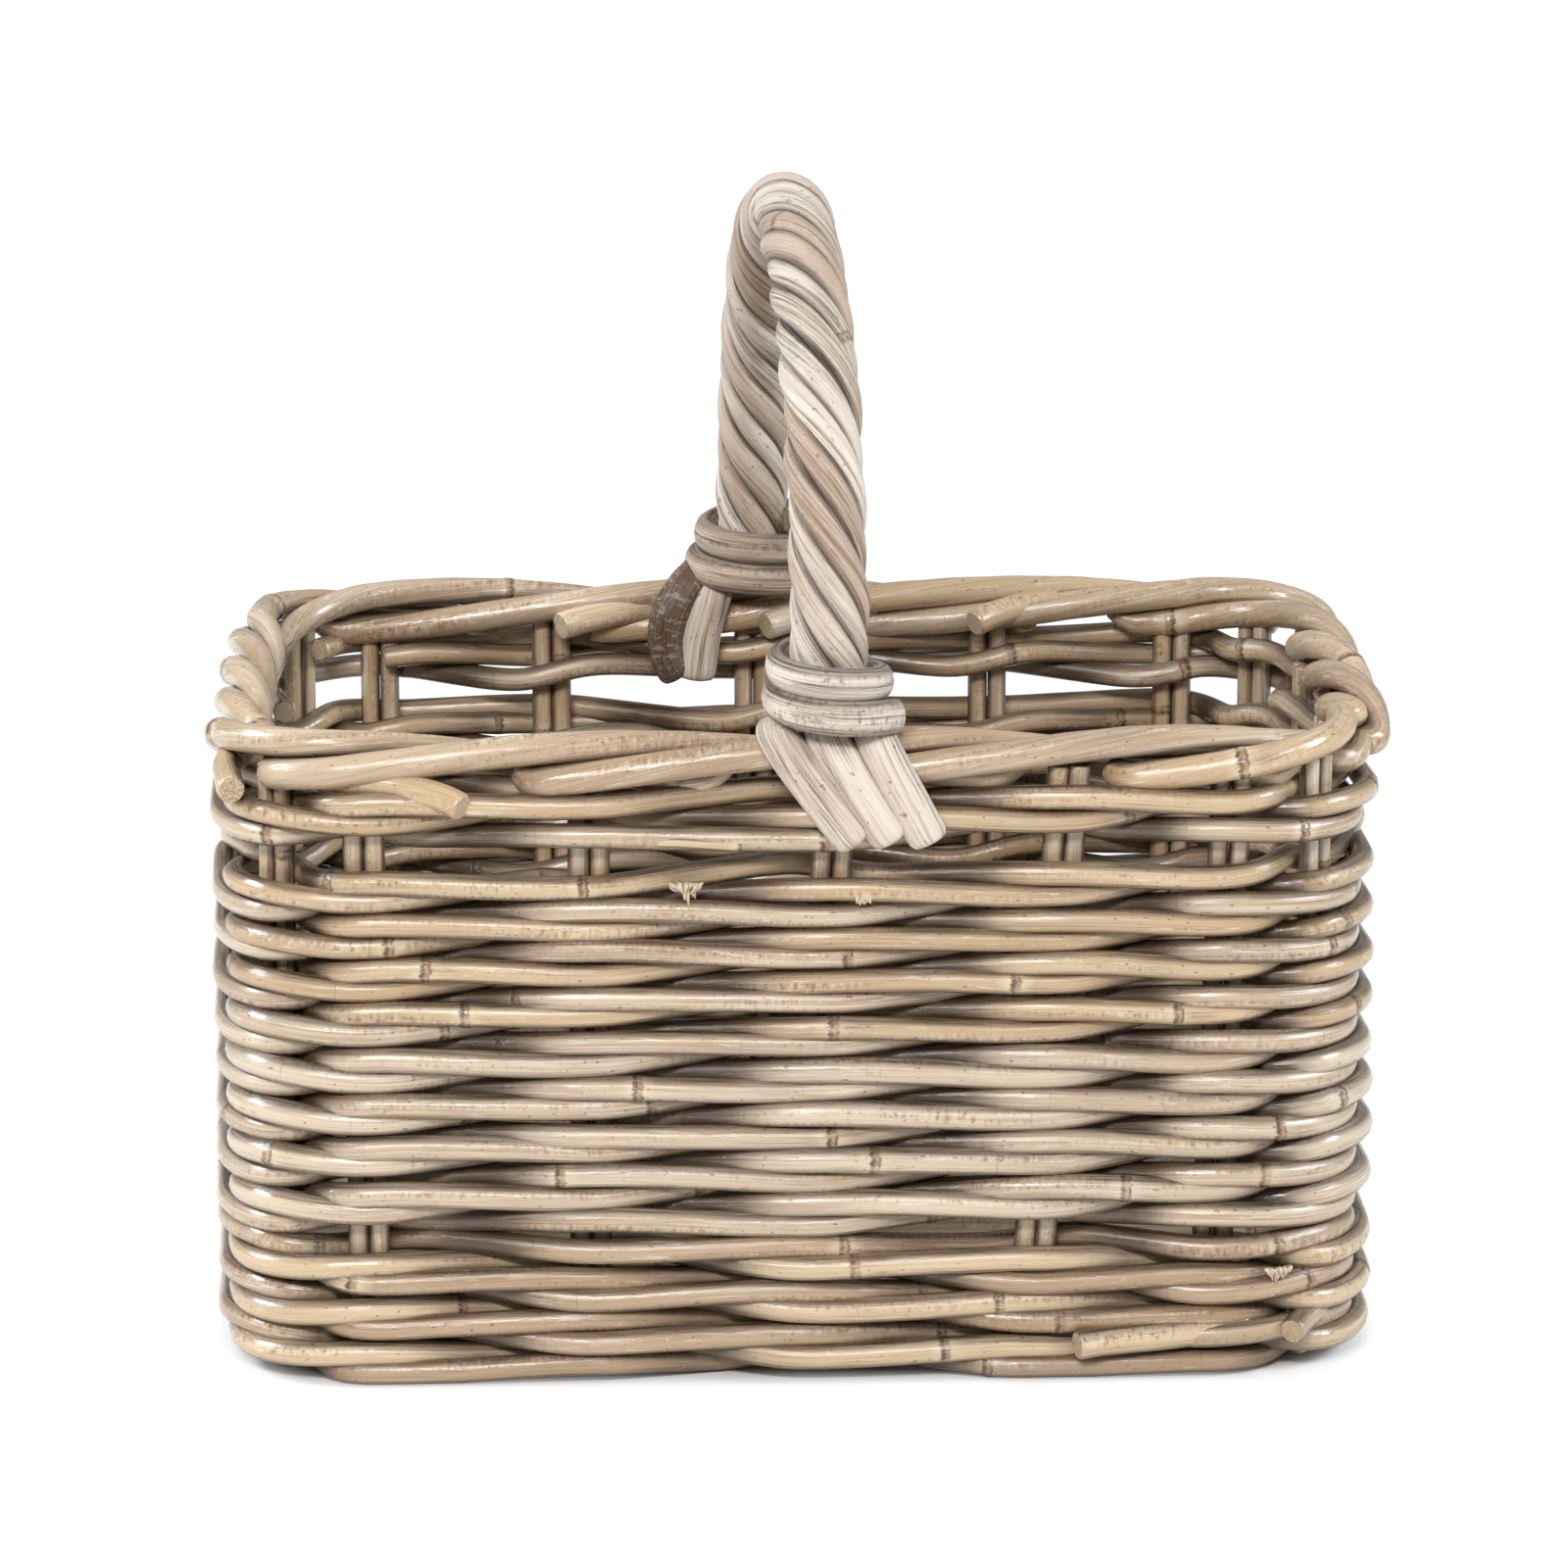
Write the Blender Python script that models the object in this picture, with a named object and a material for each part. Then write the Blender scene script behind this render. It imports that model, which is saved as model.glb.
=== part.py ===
"""Cane basket with a roped handle: a rectangular wall of three-rod waling on
paired stakes, a rolled border, a fixed bow handle laid up from six canes, and
a flat base. Metres, +Z up, front towards -Y, standing on Z = 0."""

import math

import bmesh
import bpy
from mathutils import Vector

for old in list(bpy.data.objects):
    bpy.data.objects.remove(old, do_unlink=True)

# Sizes of the whole basket
BASKET_WIDTH = 0.400
BASKET_DEPTH = 0.265
WALL_HEIGHT = 0.230
CORNER_RADIUS = 0.038
HANDLE_RISE = 0.170

# Canes
STAKE_DIAMETER = 0.0076
STAKE_PRESS = 0.0004
ROD_DIAMETER = 0.0068
BORDER_ROD_DIAMETER = 0.0105
BASE_STICK_DIAMETER = 0.0076
MAT_CANE_DIAMETER = 0.0085
STRAND_DIAMETER = 0.0072
COLLAR_DIAMETER = 0.0104
TAIL_WIDTH = 0.0098
TAIL_THICKNESS = 0.0044

# Clearances
SEAT_GAP = 0.0003
WEAVE_SLACK = 0.0002
FLOOR_GAP = 0.0005
BUTT_GAP = 0.0020

# Wall
FOOT_ROUNDS = 3
LOW_CANE_ROUNDS = 4
TOP_GAP = 0.0080
STAKE_HOLD = 0.0065
PACKING_SHARE = 0.90
FIRST_OUT_SHARE = 1 / 12
BEHIND_SHARE = 3 / 12
ROD_SIDES = 4
CANE_SIDES = 5
STICK_SIDES = 8
PAIR_STEPS = 7

# Places of the stake pairs along the straight run of each wall, from its middle
FRONT_TOP_SHARES = (-0.490, -0.236, 0.043, 0.305, 0.490)
FRONT_FOOT_SHARES = (-0.490, -0.236, 0.003, 0.263, 0.472)
SIDE_SHARES = (-0.25, 0.25)
BACK_SHARES = (-0.490, -0.261, 0.029, 0.278, 0.490)

CORNER_STAKES = (0, 6, 9, 15)
TIGHT_STAKES = (0, 1, 5, 6, 9, 10, 14, 15, 16, 17)
FRONT_FIRST = 1
BACK_FIRST = 10

# Border
BORDER_RODS = 12
STATIONS_PER_ROD = 5
BORDER_SPAN = 12
CORNER_STATIONS = 4
FRONT_STATIONS = 14
SIDE_STATIONS = 8
BORDER_START = math.radians(-50)
BORDER_PACKING_SHARE = 0.985
BORDER_SHIFT = 2

# Handle
STRANDS = 6
LAY_LENGTH = 0.100
STEPS_PER_LAY = 7
CORE_STEPS = 18
ROPE_PACKING_SHARE = 0.795
FRONT_FOOT_X = 0.0105
BACK_FOOT_X = -0.0085
COLLAR_TURNS = 1.7
COLLAR_STEPS = 10
COLLAR_PACKING_SHARE = 0.95
FRONT_TAIL_START_X = (-0.0060, 0.0105, 0.0265)
FRONT_TAIL_LEANS = (0.0290, 0.0250, 0.0210)
BACK_STRAP_START_X = (-0.0330, -0.0200)
BACK_STRAP_LEAN = -0.0090
TAIL_DROP = 0.0390
TAIL_PACKING_SHARE = 0.985
TAIL_ANGLES = (math.radians(38), math.radians(15), math.radians(-8))
TAIL_SIDES = 8

# Base
BASE_RISE = 0.0135
BASE_EDGE_GAP = 0.0010
MAT_VALLEY_ANGLE = math.radians(35)
MAT_CORNER_STEPS = 4

# Surfaces
CANE_ROUGHNESS = 0.5
HANDLE_ROUGHNESS = 0.75
SMOOTH_ANGLE = math.radians(50)

# Colours from the photograph
COLOURS = {
    "wall": (0.56, 0.43, 0.28, 1.0),
    "stake": (0.47, 0.36, 0.24, 1.0),
    "border": (0.60, 0.48, 0.33, 1.0),
    "handle": (0.66, 0.56, 0.46, 1.0),
    "strap": (0.33, 0.24, 0.17, 1.0),
    "base": (0.45, 0.35, 0.24, 1.0),
}

# Derived sizes of the wall
stake_radius = STAKE_DIAMETER / 2
rod_radius = ROD_DIAMETER / 2
weave_depth = stake_radius + rod_radius + SEAT_GAP + WEAVE_SLACK
wall_reach = weave_depth + rod_radius
half_width = BASKET_WIDTH / 2 - wall_reach
half_depth = BASKET_DEPTH / 2 - wall_reach
arc_length = CORNER_RADIUS * math.pi / 2
front_run = 2 * (half_width - CORNER_RADIUS)
side_run = 2 * (half_depth - CORNER_RADIUS)
loop_length = 4 * arc_length + 2 * front_run + 2 * side_run

corner_reach = CORNER_RADIUS + weave_depth
corner_rise = corner_reach / math.cos(STAKE_HOLD / CORNER_RADIUS) - corner_reach

# Derived sizes of the border
border_radius = BORDER_ROD_DIAMETER / 2
border_ring = (BORDER_ROD_DIAMETER + SEAT_GAP) / (math.sqrt(3) * BORDER_PACKING_SHARE)
border_axis = WALL_HEIGHT - border_ring - border_radius
border_step = 2 * math.pi / (3 * STATIONS_PER_ROD)
border_end = BORDER_START + BORDER_SPAN * border_step
border_drop = border_ring * max(-math.sin(BORDER_START), -math.sin(border_end))
stake_top = border_axis - border_drop - border_radius - SEAT_GAP

# Levels of the rounds
least_pitch = 2 * (ROD_DIAMETER + SEAT_GAP) / PACKING_SHARE
band_rise = ROD_DIAMETER + SEAT_GAP + WEAVE_SLACK
low_limit = FLOOR_GAP + rod_radius
high_limit = stake_top - rod_radius
round_space = high_limit - low_limit - band_rise - TOP_GAP
rounds = max(FOOT_ROUNDS + 3, math.floor(round_space / least_pitch + 1 / 3))
pitch = round_space / (rounds - 2 / 3 + 4 * FIRST_OUT_SHARE)
foot_level = low_limit + FIRST_OUT_SHARE * pitch
foot_top = foot_level + (FOOT_ROUNDS - 1 / 3 + FIRST_OUT_SHARE) * pitch
wall_foot = foot_top + band_rise
wall_rounds = rounds - FOOT_ROUNDS
wall_level = wall_foot + (2 / 3 + FIRST_OUT_SHARE) * pitch

# Stations along the stake line, from the middle of the front left corner
corner_places = [
    0,
    arc_length + front_run,
    2 * arc_length + front_run + side_run,
    3 * arc_length + 2 * front_run + side_run,
]
run_middles = [
    (corner_places[0] + corner_places[1]) / 2,
    (corner_places[1] + corner_places[2]) / 2,
    (corner_places[2] + corner_places[3]) / 2,
    (corner_places[3] + loop_length) / 2,
]


def spread(middle, run, shares):
    return [middle + run * share for share in shares]


def stake_places(front_shares):
    return (
        [corner_places[0]]
        + spread(run_middles[0], front_run, front_shares)
        + [corner_places[1]]
        + spread(run_middles[1], side_run, SIDE_SHARES)
        + [corner_places[2]]
        + spread(run_middles[2], front_run, BACK_SHARES)
        + [corner_places[3]]
        + spread(run_middles[3], side_run, SIDE_SHARES)
    )


foot_places = stake_places(FRONT_FOOT_SHARES)
top_places = stake_places(FRONT_TOP_SHARES)
stakes = len(foot_places)


def stake_place(index, height):
    """Length along the stake line to a stake pair at a height. The index runs on over each turn."""
    turn, stake = divmod(index, stakes)
    share = height / stake_top
    place = foot_places[stake] * (1 - share) + top_places[stake] * share
    return turn * loop_length + place


def on_stake_line(place):
    """Point on the stake line in plan and the heading there, for a length along it."""
    left = (place + arc_length / 2) % loop_length
    centre_x = half_width - CORNER_RADIUS
    centre_y = half_depth - CORNER_RADIUS
    centres = [
        (-centre_x, -centre_y),
        (centre_x, -centre_y),
        (centre_x, centre_y),
        (-centre_x, centre_y),
    ]
    heading = -math.pi / 2
    point = Vector((-half_width, -centre_y, 0))
    for side in range(4):
        run = side_run if side % 2 else front_run
        centre = Vector((*centres[side], 0))
        turn = min(left, arc_length) / CORNER_RADIUS
        heading = side * math.pi / 2 - math.pi / 2 + turn
        point = centre + outward(heading) * CORNER_RADIUS
        left -= arc_length
        if left <= 0:
            break
        point = point + along(heading) * min(left, run)
        left -= run
        if left <= 0:
            break
    return point, heading


def along(heading):
    return Vector((math.cos(heading), math.sin(heading), 0))


def outward(heading):
    return Vector((math.sin(heading), -math.cos(heading), 0))


def wall_point(place, depth, height):
    """Point at a depth outside the stake line (negative inside) and at a height."""
    point, heading = on_stake_line(place)
    return point + outward(heading) * depth + Vector((0, 0, height))


# Materials and objects
def material_for(name, kind):
    material = bpy.data.materials.new(name)
    material.use_nodes = True
    surface = material.node_tree.nodes["Principled BSDF"]
    surface.inputs["Base Color"].default_value = COLOURS[kind]
    rough = HANDLE_ROUGHNESS if kind == "handle" else CANE_ROUGHNESS
    surface.inputs["Roughness"].default_value = rough
    surface.inputs["Metallic"].default_value = 0.0
    return material


def add_object(name, data, kind):
    made = bpy.data.objects.new(name, data)
    bpy.context.scene.collection.objects.link(made)
    data.materials.append(material_for(name, kind))
    made.parent = basket
    return made


def profile_curve(name, radius, sides):
    """Closed outline that a curve is bevelled with."""
    data = bpy.data.curves.new(name, "CURVE")
    data.dimensions = "2D"
    spline = data.splines.new("POLY")
    spline.points.add(sides - 1)
    for index, point in enumerate(spline.points):
        angle = math.pi / 2 - 2 * math.pi * index / sides
        point.co = (radius * math.cos(angle), radius * math.sin(angle), 0, 1)
    spline.use_cyclic_u = True
    made = bpy.data.objects.new(name, data)
    bpy.context.scene.collection.objects.link(made)
    made.hide_render = True
    made.display_type = "WIRE"
    return made


def cane(name, points, outline, kind, twist="MINIMUM"):
    """Round cane along points, as a bevelled curve with closed ends."""
    data = bpy.data.curves.new(name, "CURVE")
    data.dimensions = "3D"
    data.twist_mode = twist
    data.bevel_mode = "OBJECT"
    data.bevel_object = outline
    data.use_fill_caps = True
    spline = data.splines.new("POLY")
    spline.points.add(len(points) - 1)
    for place, point in zip(spline.points, points):
        place.co = (*point, 1)
    spline.use_smooth = True
    return add_object(name, data, kind)


def finish_mesh(name, mesh, kind, smooth=True):
    bmesh.ops.recalc_face_normals(mesh, faces=mesh.faces)
    data = bpy.data.meshes.new(name)
    mesh.to_mesh(data)
    mesh.free()
    if smooth:
        data.shade_smooth()
        data.set_sharp_from_angle(angle=SMOOTH_ANGLE)
    return add_object(name, data, kind)


def extrude_along(mesh, ring, rings):
    """Solid through rings of points, each as long as the first, closed at both ends."""
    rows = [[mesh.verts.new(point) for point in points] for points in [ring, *rings]]
    for before, after in zip(rows, rows[1:]):
        for place in range(len(before)):
            mesh.faces.new([before[place - 1], before[place], after[place], after[place - 1]])
    mesh.faces.new(rows[0])
    mesh.faces.new(rows[-1])


basket = bpy.data.objects.new("basket", None)
bpy.context.scene.collection.objects.link(basket)


# Stake pairs
def pair_outline(radius, press, steps):
    """Outline of two canes pressed side by side, along X, as (along, across) points."""
    centre = radius - press / 2
    notch = math.acos(centre / radius)
    points = []
    for side in (-1, 1):
        start = notch if side < 0 else math.pi + notch
        sweep = 2 * math.pi - 2 * notch
        for step in range(steps):
            angle = start + sweep * step / steps
            points.append((side * centre + radius * math.cos(angle), radius * math.sin(angle)))
    return points


def stake_pair(name, stake):
    foot, heading = on_stake_line(foot_places[stake])
    top, _ = on_stake_line(top_places[stake])
    outline = [
        along(heading) * forward + outward(heading) * out
        for forward, out in pair_outline(stake_radius, STAKE_PRESS, PAIR_STEPS)
    ]
    mesh = bmesh.new()
    lift = Vector((0, 0, stake_top))
    extrude_along(
        mesh,
        [foot + point for point in outline],
        [[top + lift + point for point in outline]],
    )
    finish_mesh(name, mesh, "stake")


stake_names = (
    ["stake_pair_corner_front_left"]
    + [f"stake_pair_front_{place + 1}" for place in range(len(FRONT_TOP_SHARES))]
    + ["stake_pair_corner_front_right", "stake_pair_right_1", "stake_pair_right_2"]
    + ["stake_pair_corner_back_right"]
    + [f"stake_pair_back_{place + 1}" for place in range(len(BACK_SHARES))]
    + ["stake_pair_corner_back_left", "stake_pair_left_1", "stake_pair_left_2"]
)
for stake, name in enumerate(stake_names):
    stake_pair(name, stake)


# Weavers: each passes outside two stake pairs and inside the third
def climb(place, turn):
    """Share of a round that the weave has stepped up by, on the left wall."""
    start = foot_places[stakes - 2] - STAKE_HOLD
    end = foot_places[stakes - 1] + STAKE_HOLD
    local = place - turn * loop_length
    return min(1, max(0, (local - start) / (end - start)))


def weaver_keys(first, last, behind, rising, level, extra_turn, extra):
    """Keys (place, depth, height) of a weaver from the stake pair first to last."""
    sign = -1 if rising else 1
    order = (3 - behind) % 3 if rising else -((3 - behind) % 3)
    keys = []

    def key(place, depth, share):
        turn = math.floor((place + arc_length / 2) / loop_length)
        rise = climb(place, turn)
        height = level + pitch * (turn + rise + order / 3 + sign * share)
        if extra_turn is not None:
            gone = turn + rise - (extra_turn - 1)
            height += extra * min(1, max(0, gone))
        return (place, depth, height)

    for index in range(first, last + 1):
        guess = level + pitch * (index // stakes)
        place = stake_place(index, min(stake_top, guess))
        phase = (index - behind) % 3
        if phase:
            share = FIRST_OUT_SHARE if phase == 1 else -FIRST_OUT_SHARE
            out = weave_depth
            if index % stakes in CORNER_STAKES:
                out += corner_rise
            if phase == 1 or index % stakes in TIGHT_STAKES:
                keys.append(key(place - STAKE_HOLD, out, share))
            if phase == 2 or index % stakes in TIGHT_STAKES:
                keys.append(key(place + STAKE_HOLD, out, share))
        else:
            if index > first:
                keys.append(key(place - STAKE_HOLD, -weave_depth, BEHIND_SHARE))
            else:
                keys.append(key(place + BUTT_GAP / 2, -weave_depth, 0))
            if index < last:
                keys.append(key(place + STAKE_HOLD, -weave_depth, -BEHIND_SHARE))
            else:
                keys.append(key(place - BUTT_GAP / 2, -weave_depth, 0))
    return keys


def held_in(keys, lowest, highest):
    """Keys kept between two levels, with each crossing's middle kept where it was."""
    kept = []
    for place, depth, height in keys:
        held = min(highest, max(lowest, height))
        if kept:
            before = kept[-1]
            crossing = before[1] * depth < 0
            if crossing and (held != height or before[3] != before[2]):
                middle = (before[2] + height) / 2
                held_middle = min(highest, max(lowest, middle))
                kept.append(((before[0] + place) / 2, 0, held_middle, held_middle))
        kept.append((place, depth, height, held))
    return [(place, depth, held) for place, depth, _, held in kept]


def bends_between(start, end):
    """Places between two others where a corner's curve starts or ends."""
    bends = []
    first_turn = math.floor(start / loop_length) - 1
    for turn in range(first_turn, first_turn + 4):
        for place in corner_places:
            for side in (-1, 1):
                bend = turn * loop_length + place + side * arc_length / 2
                if start + STAKE_HOLD < bend < end - STAKE_HOLD:
                    bends.append(bend)
    return sorted(bends)


def weaver(name, keys):
    """Cane through the keys, with more points where a float follows a corner."""
    points = []
    for before, after in zip(keys, keys[1:]):
        points.append(wall_point(*before))
        if before[1] > 0 and after[1] > 0:
            for bend in bends_between(before[0], after[0]):
                share = (bend - before[0]) / (after[0] - before[0])
                between = [b + (a - b) * share for b, a in zip(before, after)]
                points.append(wall_point(*between))
    points.append(wall_point(*keys[-1]))
    cane(name, points, rod_outline, "wall", "Z_UP")


rod_outline = profile_curve("rod_outline", rod_radius, ROD_SIDES)
last_left = stakes - 2
for letter, behind in (("a", 0), ("b", 2), ("c", 1)):
    first = -((3 - behind) % 3)
    last_behind = last_left - (last_left - behind) % 3
    foot_last = (FOOT_ROUNDS - 1) * stakes + last_behind
    keys = weaver_keys(first, foot_last, behind, True, foot_level, None, 0)
    weaver(f"weaver_foot_{letter}", held_in(keys, low_limit, foot_top))
    splice = LOW_CANE_ROUNDS * stakes + behind
    wall_last = (wall_rounds - 1) * stakes + last_behind
    top_turn = wall_rounds - 1
    keys = weaver_keys(first, splice, behind, False, wall_level, top_turn, TOP_GAP)
    weaver(f"weaver_low_{letter}", held_in(keys, wall_foot, high_limit))
    keys = weaver_keys(splice, wall_last, behind, False, wall_level, top_turn, TOP_GAP)
    weaver(f"weaver_high_{letter}", held_in(keys, wall_foot, high_limit))


# Rolled border: each rod comes out under the rim, rises over it and goes down inside
def border_stations():
    places = []
    starts = [place - arc_length / 2 for place in corner_places]
    for side, start in enumerate(starts):
        run = side_run if side % 2 else front_run
        steps = SIDE_STATIONS if side % 2 else FRONT_STATIONS
        places += [start + arc_length * step / CORNER_STATIONS for step in range(CORNER_STATIONS)]
        places += [start + arc_length + run * step / steps for step in range(steps)]
    return places


border_outline = profile_curve("border_outline", border_radius, CANE_SIDES)
stations = border_stations()
for rod in range(BORDER_RODS):
    points = []
    for step in range(BORDER_SPAN + 1):
        station = (rod * STATIONS_PER_ROD + BORDER_SHIFT + step) % len(stations)
        angle = BORDER_START + border_step * step
        points.append(
            wall_point(
                stations[station],
                border_ring * math.cos(angle),
                border_axis + border_ring * math.sin(angle),
            )
        )
    cane(f"border_rod_{rod + 1:02d}", points, border_outline, "border", "Z_UP")

# Handle: a bow core with six canes laid round it
strand_radius = STRAND_DIAMETER / 2
rope_ring = (STRAND_DIAMETER + SEAT_GAP) / ROPE_PACKING_SHARE
rope_radius = rope_ring + strand_radius
chord_share = math.cos(math.pi / STEPS_PER_LAY)
core_radius = rope_ring * chord_share - strand_radius - SEAT_GAP
handle_foot = WALL_HEIGHT + SEAT_GAP
front_foot = Vector((FRONT_FOOT_X, -half_depth, handle_foot))
back_foot = Vector((BACK_FOOT_X, half_depth, handle_foot))
bow_span = back_foot - front_foot
bow_way = bow_span.normalized()
bow_radius = bow_span.length / 2
bow_side = bow_way.cross(Vector((0, 0, 1)))
leg_length = HANDLE_RISE - rope_radius - SEAT_GAP - bow_radius
bow_length = 2 * leg_length + math.pi * bow_radius


def on_bow(length):
    """Point on the handle's middle line and the direction out of the bow there."""
    up = Vector((0, 0, 1))
    if length < leg_length:
        return front_foot + up * length, -bow_way
    if length > bow_length - leg_length:
        return back_foot + up * (bow_length - length), bow_way
    angle = (length - leg_length) / bow_radius
    out = -bow_way * math.cos(angle) + up * math.sin(angle)
    centre = (front_foot + back_foot) / 2 + up * leg_length
    return centre + out * bow_radius, out


lay_steps = math.ceil(bow_length / LAY_LENGTH * STEPS_PER_LAY)
strand_outline = profile_curve("strand_outline", strand_radius, CANE_SIDES)
for strand in range(STRANDS):
    points = []
    for step in range(-1, lay_steps + 2):
        wound = min(lay_steps, max(0, step))
        end = strand_radius * (1 if step < 0 else -1 if step > lay_steps else 0)
        laid = strand_radius + (bow_length - STRAND_DIAMETER) * wound / lay_steps
        centre, out = on_bow(laid - end)
        angle = 2 * math.pi * (strand / STRANDS - wound / STEPS_PER_LAY)
        points.append(
            centre + (out * math.cos(angle) + bow_side * math.sin(angle)) * rope_ring
        )
    cane(f"handle_strand_{strand + 1}", points, strand_outline, "handle")

core_outline = profile_curve("core_outline", core_radius, CANE_SIDES + 1)
core_points = [on_bow(bow_length * step / CORE_STEPS)[0] for step in range(CORE_STEPS + 1)]
cane("handle_core", core_points, core_outline, "handle")

# Collars: one cane wound round each foot of the handle
collar_radius = COLLAR_DIAMETER / 2
collar_chord_share = math.cos(math.pi / COLLAR_STEPS)
collar_ring = (rope_radius + SEAT_GAP + collar_radius) * COLLAR_PACKING_SHARE / collar_chord_share
collar_pitch = COLLAR_DIAMETER + 2 * SEAT_GAP
collar_outline = profile_curve("collar_outline", collar_radius, CANE_SIDES)
for name, foot, start in (
    ("handle_collar_front", front_foot, 0),
    ("handle_collar_back", back_foot, math.pi),
):
    steps = math.ceil(COLLAR_TURNS * COLLAR_STEPS)
    points = []
    for step in range(steps + 1):
        angle = start - 2 * math.pi * step / COLLAR_STEPS
        height = collar_radius + collar_pitch * step / COLLAR_STEPS
        points.append(foot + along(angle) * collar_ring + Vector((0, 0, height)))
    cane(name, points, collar_outline, "handle", "Z_UP")


# Tails and straps: flat ends of the canes that tie the handle to the rim
def strap(name, start_x, lean, side, kind):
    """Flat cane over the border and the top round. Side 1 is in front, outside."""
    half_thick = TAIL_THICKNESS / 2
    hug = (border_ring + border_radius + SEAT_GAP + half_thick) * TAIL_PACKING_SHARE
    low_height = WALL_HEIGHT - TAIL_DROP
    path = [
        (hug * math.cos(angle), border_axis + hug * math.sin(angle)) for angle in TAIL_ANGLES
    ]
    path += [(hug, stake_top - rod_radius), (hug, low_height)]
    top_height = path[0][1]
    middles = []
    for out, height in path:
        share = (top_height - height) / (top_height - low_height)
        depth = -half_depth - out if side > 0 else half_depth - out
        middles.append(Vector((start_x + lean * share, depth, height)))
    rings = []
    for index, middle in enumerate(middles):
        before = middles[max(0, index - 1)]
        after = middles[min(len(middles) - 1, index + 1)]
        run = (after - before).normalized()
        wide = (Vector((1, 0, 0)) - run * run.x).normalized()
        thin = run.cross(wide)
        ring = []
        for step in range(TAIL_SIDES):
            angle = 2 * math.pi * step / TAIL_SIDES
            point = wide * TAIL_WIDTH / 2 * math.cos(angle) + thin * half_thick * math.sin(angle)
            ring.append(middle + point)
        rings.append(ring)
    mesh = bmesh.new()
    extrude_along(mesh, rings[0], rings[1:])
    finish_mesh(name, mesh, kind)


for place, start_x in enumerate(FRONT_TAIL_START_X):
    strap(f"handle_tail_front_{place + 1}", start_x, FRONT_TAIL_LEANS[place], 1, "handle")
strap("handle_strap_back_dark", BACK_STRAP_START_X[0], BACK_STRAP_LEAN, -1, "strap")
strap("handle_strap_back_pale", BACK_STRAP_START_X[1], BACK_STRAP_LEAN, -1, "handle")

# Base: five sticks from front to back and a mat of canes across them
base_reach = wall_reach + SEAT_GAP + WEAVE_SLACK
stick_radius = BASE_STICK_DIAMETER / 2
base_sticks = len(BACK_SHARES)
for place in range(base_sticks):
    front, _ = on_stake_line(foot_places[FRONT_FIRST + place])
    back, _ = on_stake_line(foot_places[BACK_FIRST + base_sticks - 1 - place])
    front.y += base_reach
    back.y -= base_reach
    way = back - front
    mesh = bmesh.new()
    bmesh.ops.create_cone(
        mesh,
        cap_ends=True,
        segments=STICK_SIDES,
        radius1=stick_radius,
        radius2=stick_radius,
        depth=way.length,
    )
    stick = finish_mesh(f"base_stick_{place + 1}", mesh, "base")
    stick.location = (front + back) / 2 + Vector((0, 0, BASE_RISE))
    stick.rotation_mode = "QUATERNION"
    stick.rotation_quaternion = way.to_track_quat("Z", "Y")

mat_radius = MAT_CANE_DIAMETER / 2
mat_middle = BASE_RISE + stick_radius + SEAT_GAP + mat_radius
mat_half_width = half_width - wall_reach - BASE_EDGE_GAP
mat_half_depth = half_depth - wall_reach - BASE_EDGE_GAP
mat_valley = MAT_CANE_DIAMETER * math.cos(MAT_VALLEY_ANGLE)
mat_canes = max(2, math.ceil(2 * mat_half_depth / mat_valley))
mat_pitch = (2 * mat_half_depth - mat_valley) / (mat_canes - 1)
top_side = []
under_side = []
for place in range(mat_canes):
    middle = -mat_half_depth + mat_radius * math.cos(MAT_VALLEY_ANGLE) + mat_pitch * place
    angles = [math.pi - MAT_VALLEY_ANGLE, math.pi / 2]
    if place == mat_canes - 1:
        angles.append(MAT_VALLEY_ANGLE)
    for angle in angles:
        across = middle + mat_radius * math.cos(angle)
        rise = mat_radius * math.sin(angle)
        top_side.append((across, mat_middle + rise))
        under_side.append((across, mat_middle - rise))
outline = top_side + under_side[::-1]
mesh = bmesh.new()
extrude_along(
    mesh,
    [Vector((-mat_half_width, across, height)) for across, height in outline],
    [[Vector((mat_half_width, across, height)) for across, height in outline]],
)
base_mat = finish_mesh("base_mat", mesh, "base")

mat_corner = CORNER_RADIUS - wall_reach - BASE_EDGE_GAP
rim_points = []
for corner in range(4):
    x_side = (-1, 1, 1, -1)[corner]
    y_side = (-1, -1, 1, 1)[corner]
    centre_x = x_side * (mat_half_width - mat_corner)
    centre_y = y_side * (mat_half_depth - mat_corner)
    for step in range(MAT_CORNER_STEPS + 1):
        heading = (corner - 1 + step / MAT_CORNER_STEPS) * math.pi / 2
        rim_points.append(Vector((centre_x, centre_y, 0)) + outward(heading) * mat_corner)
mesh = bmesh.new()
extrude_along(
    mesh,
    rim_points,
    [[point + Vector((0, 0, WALL_HEIGHT)) for point in rim_points]],
)
mat_cutter = finish_mesh("mat_cutter", mesh, "base", smooth=False)
mat_cutter.hide_render = True
mat_cutter.display_type = "WIRE"
trim = base_mat.modifiers.new("rounded_corners", "BOOLEAN")
trim.operation = "INTERSECT"
trim.object = mat_cutter
trim.solver = "EXACT"
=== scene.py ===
"""Looks of a cane basket: woven wall, rolled border, roped handle and base.

Every cane is swept along its own line by one Geometry Nodes tree, and replaces
the node of the frame that it is named after. Metres, +Z up, front towards -Y.
"""

import math
import zlib

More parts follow.
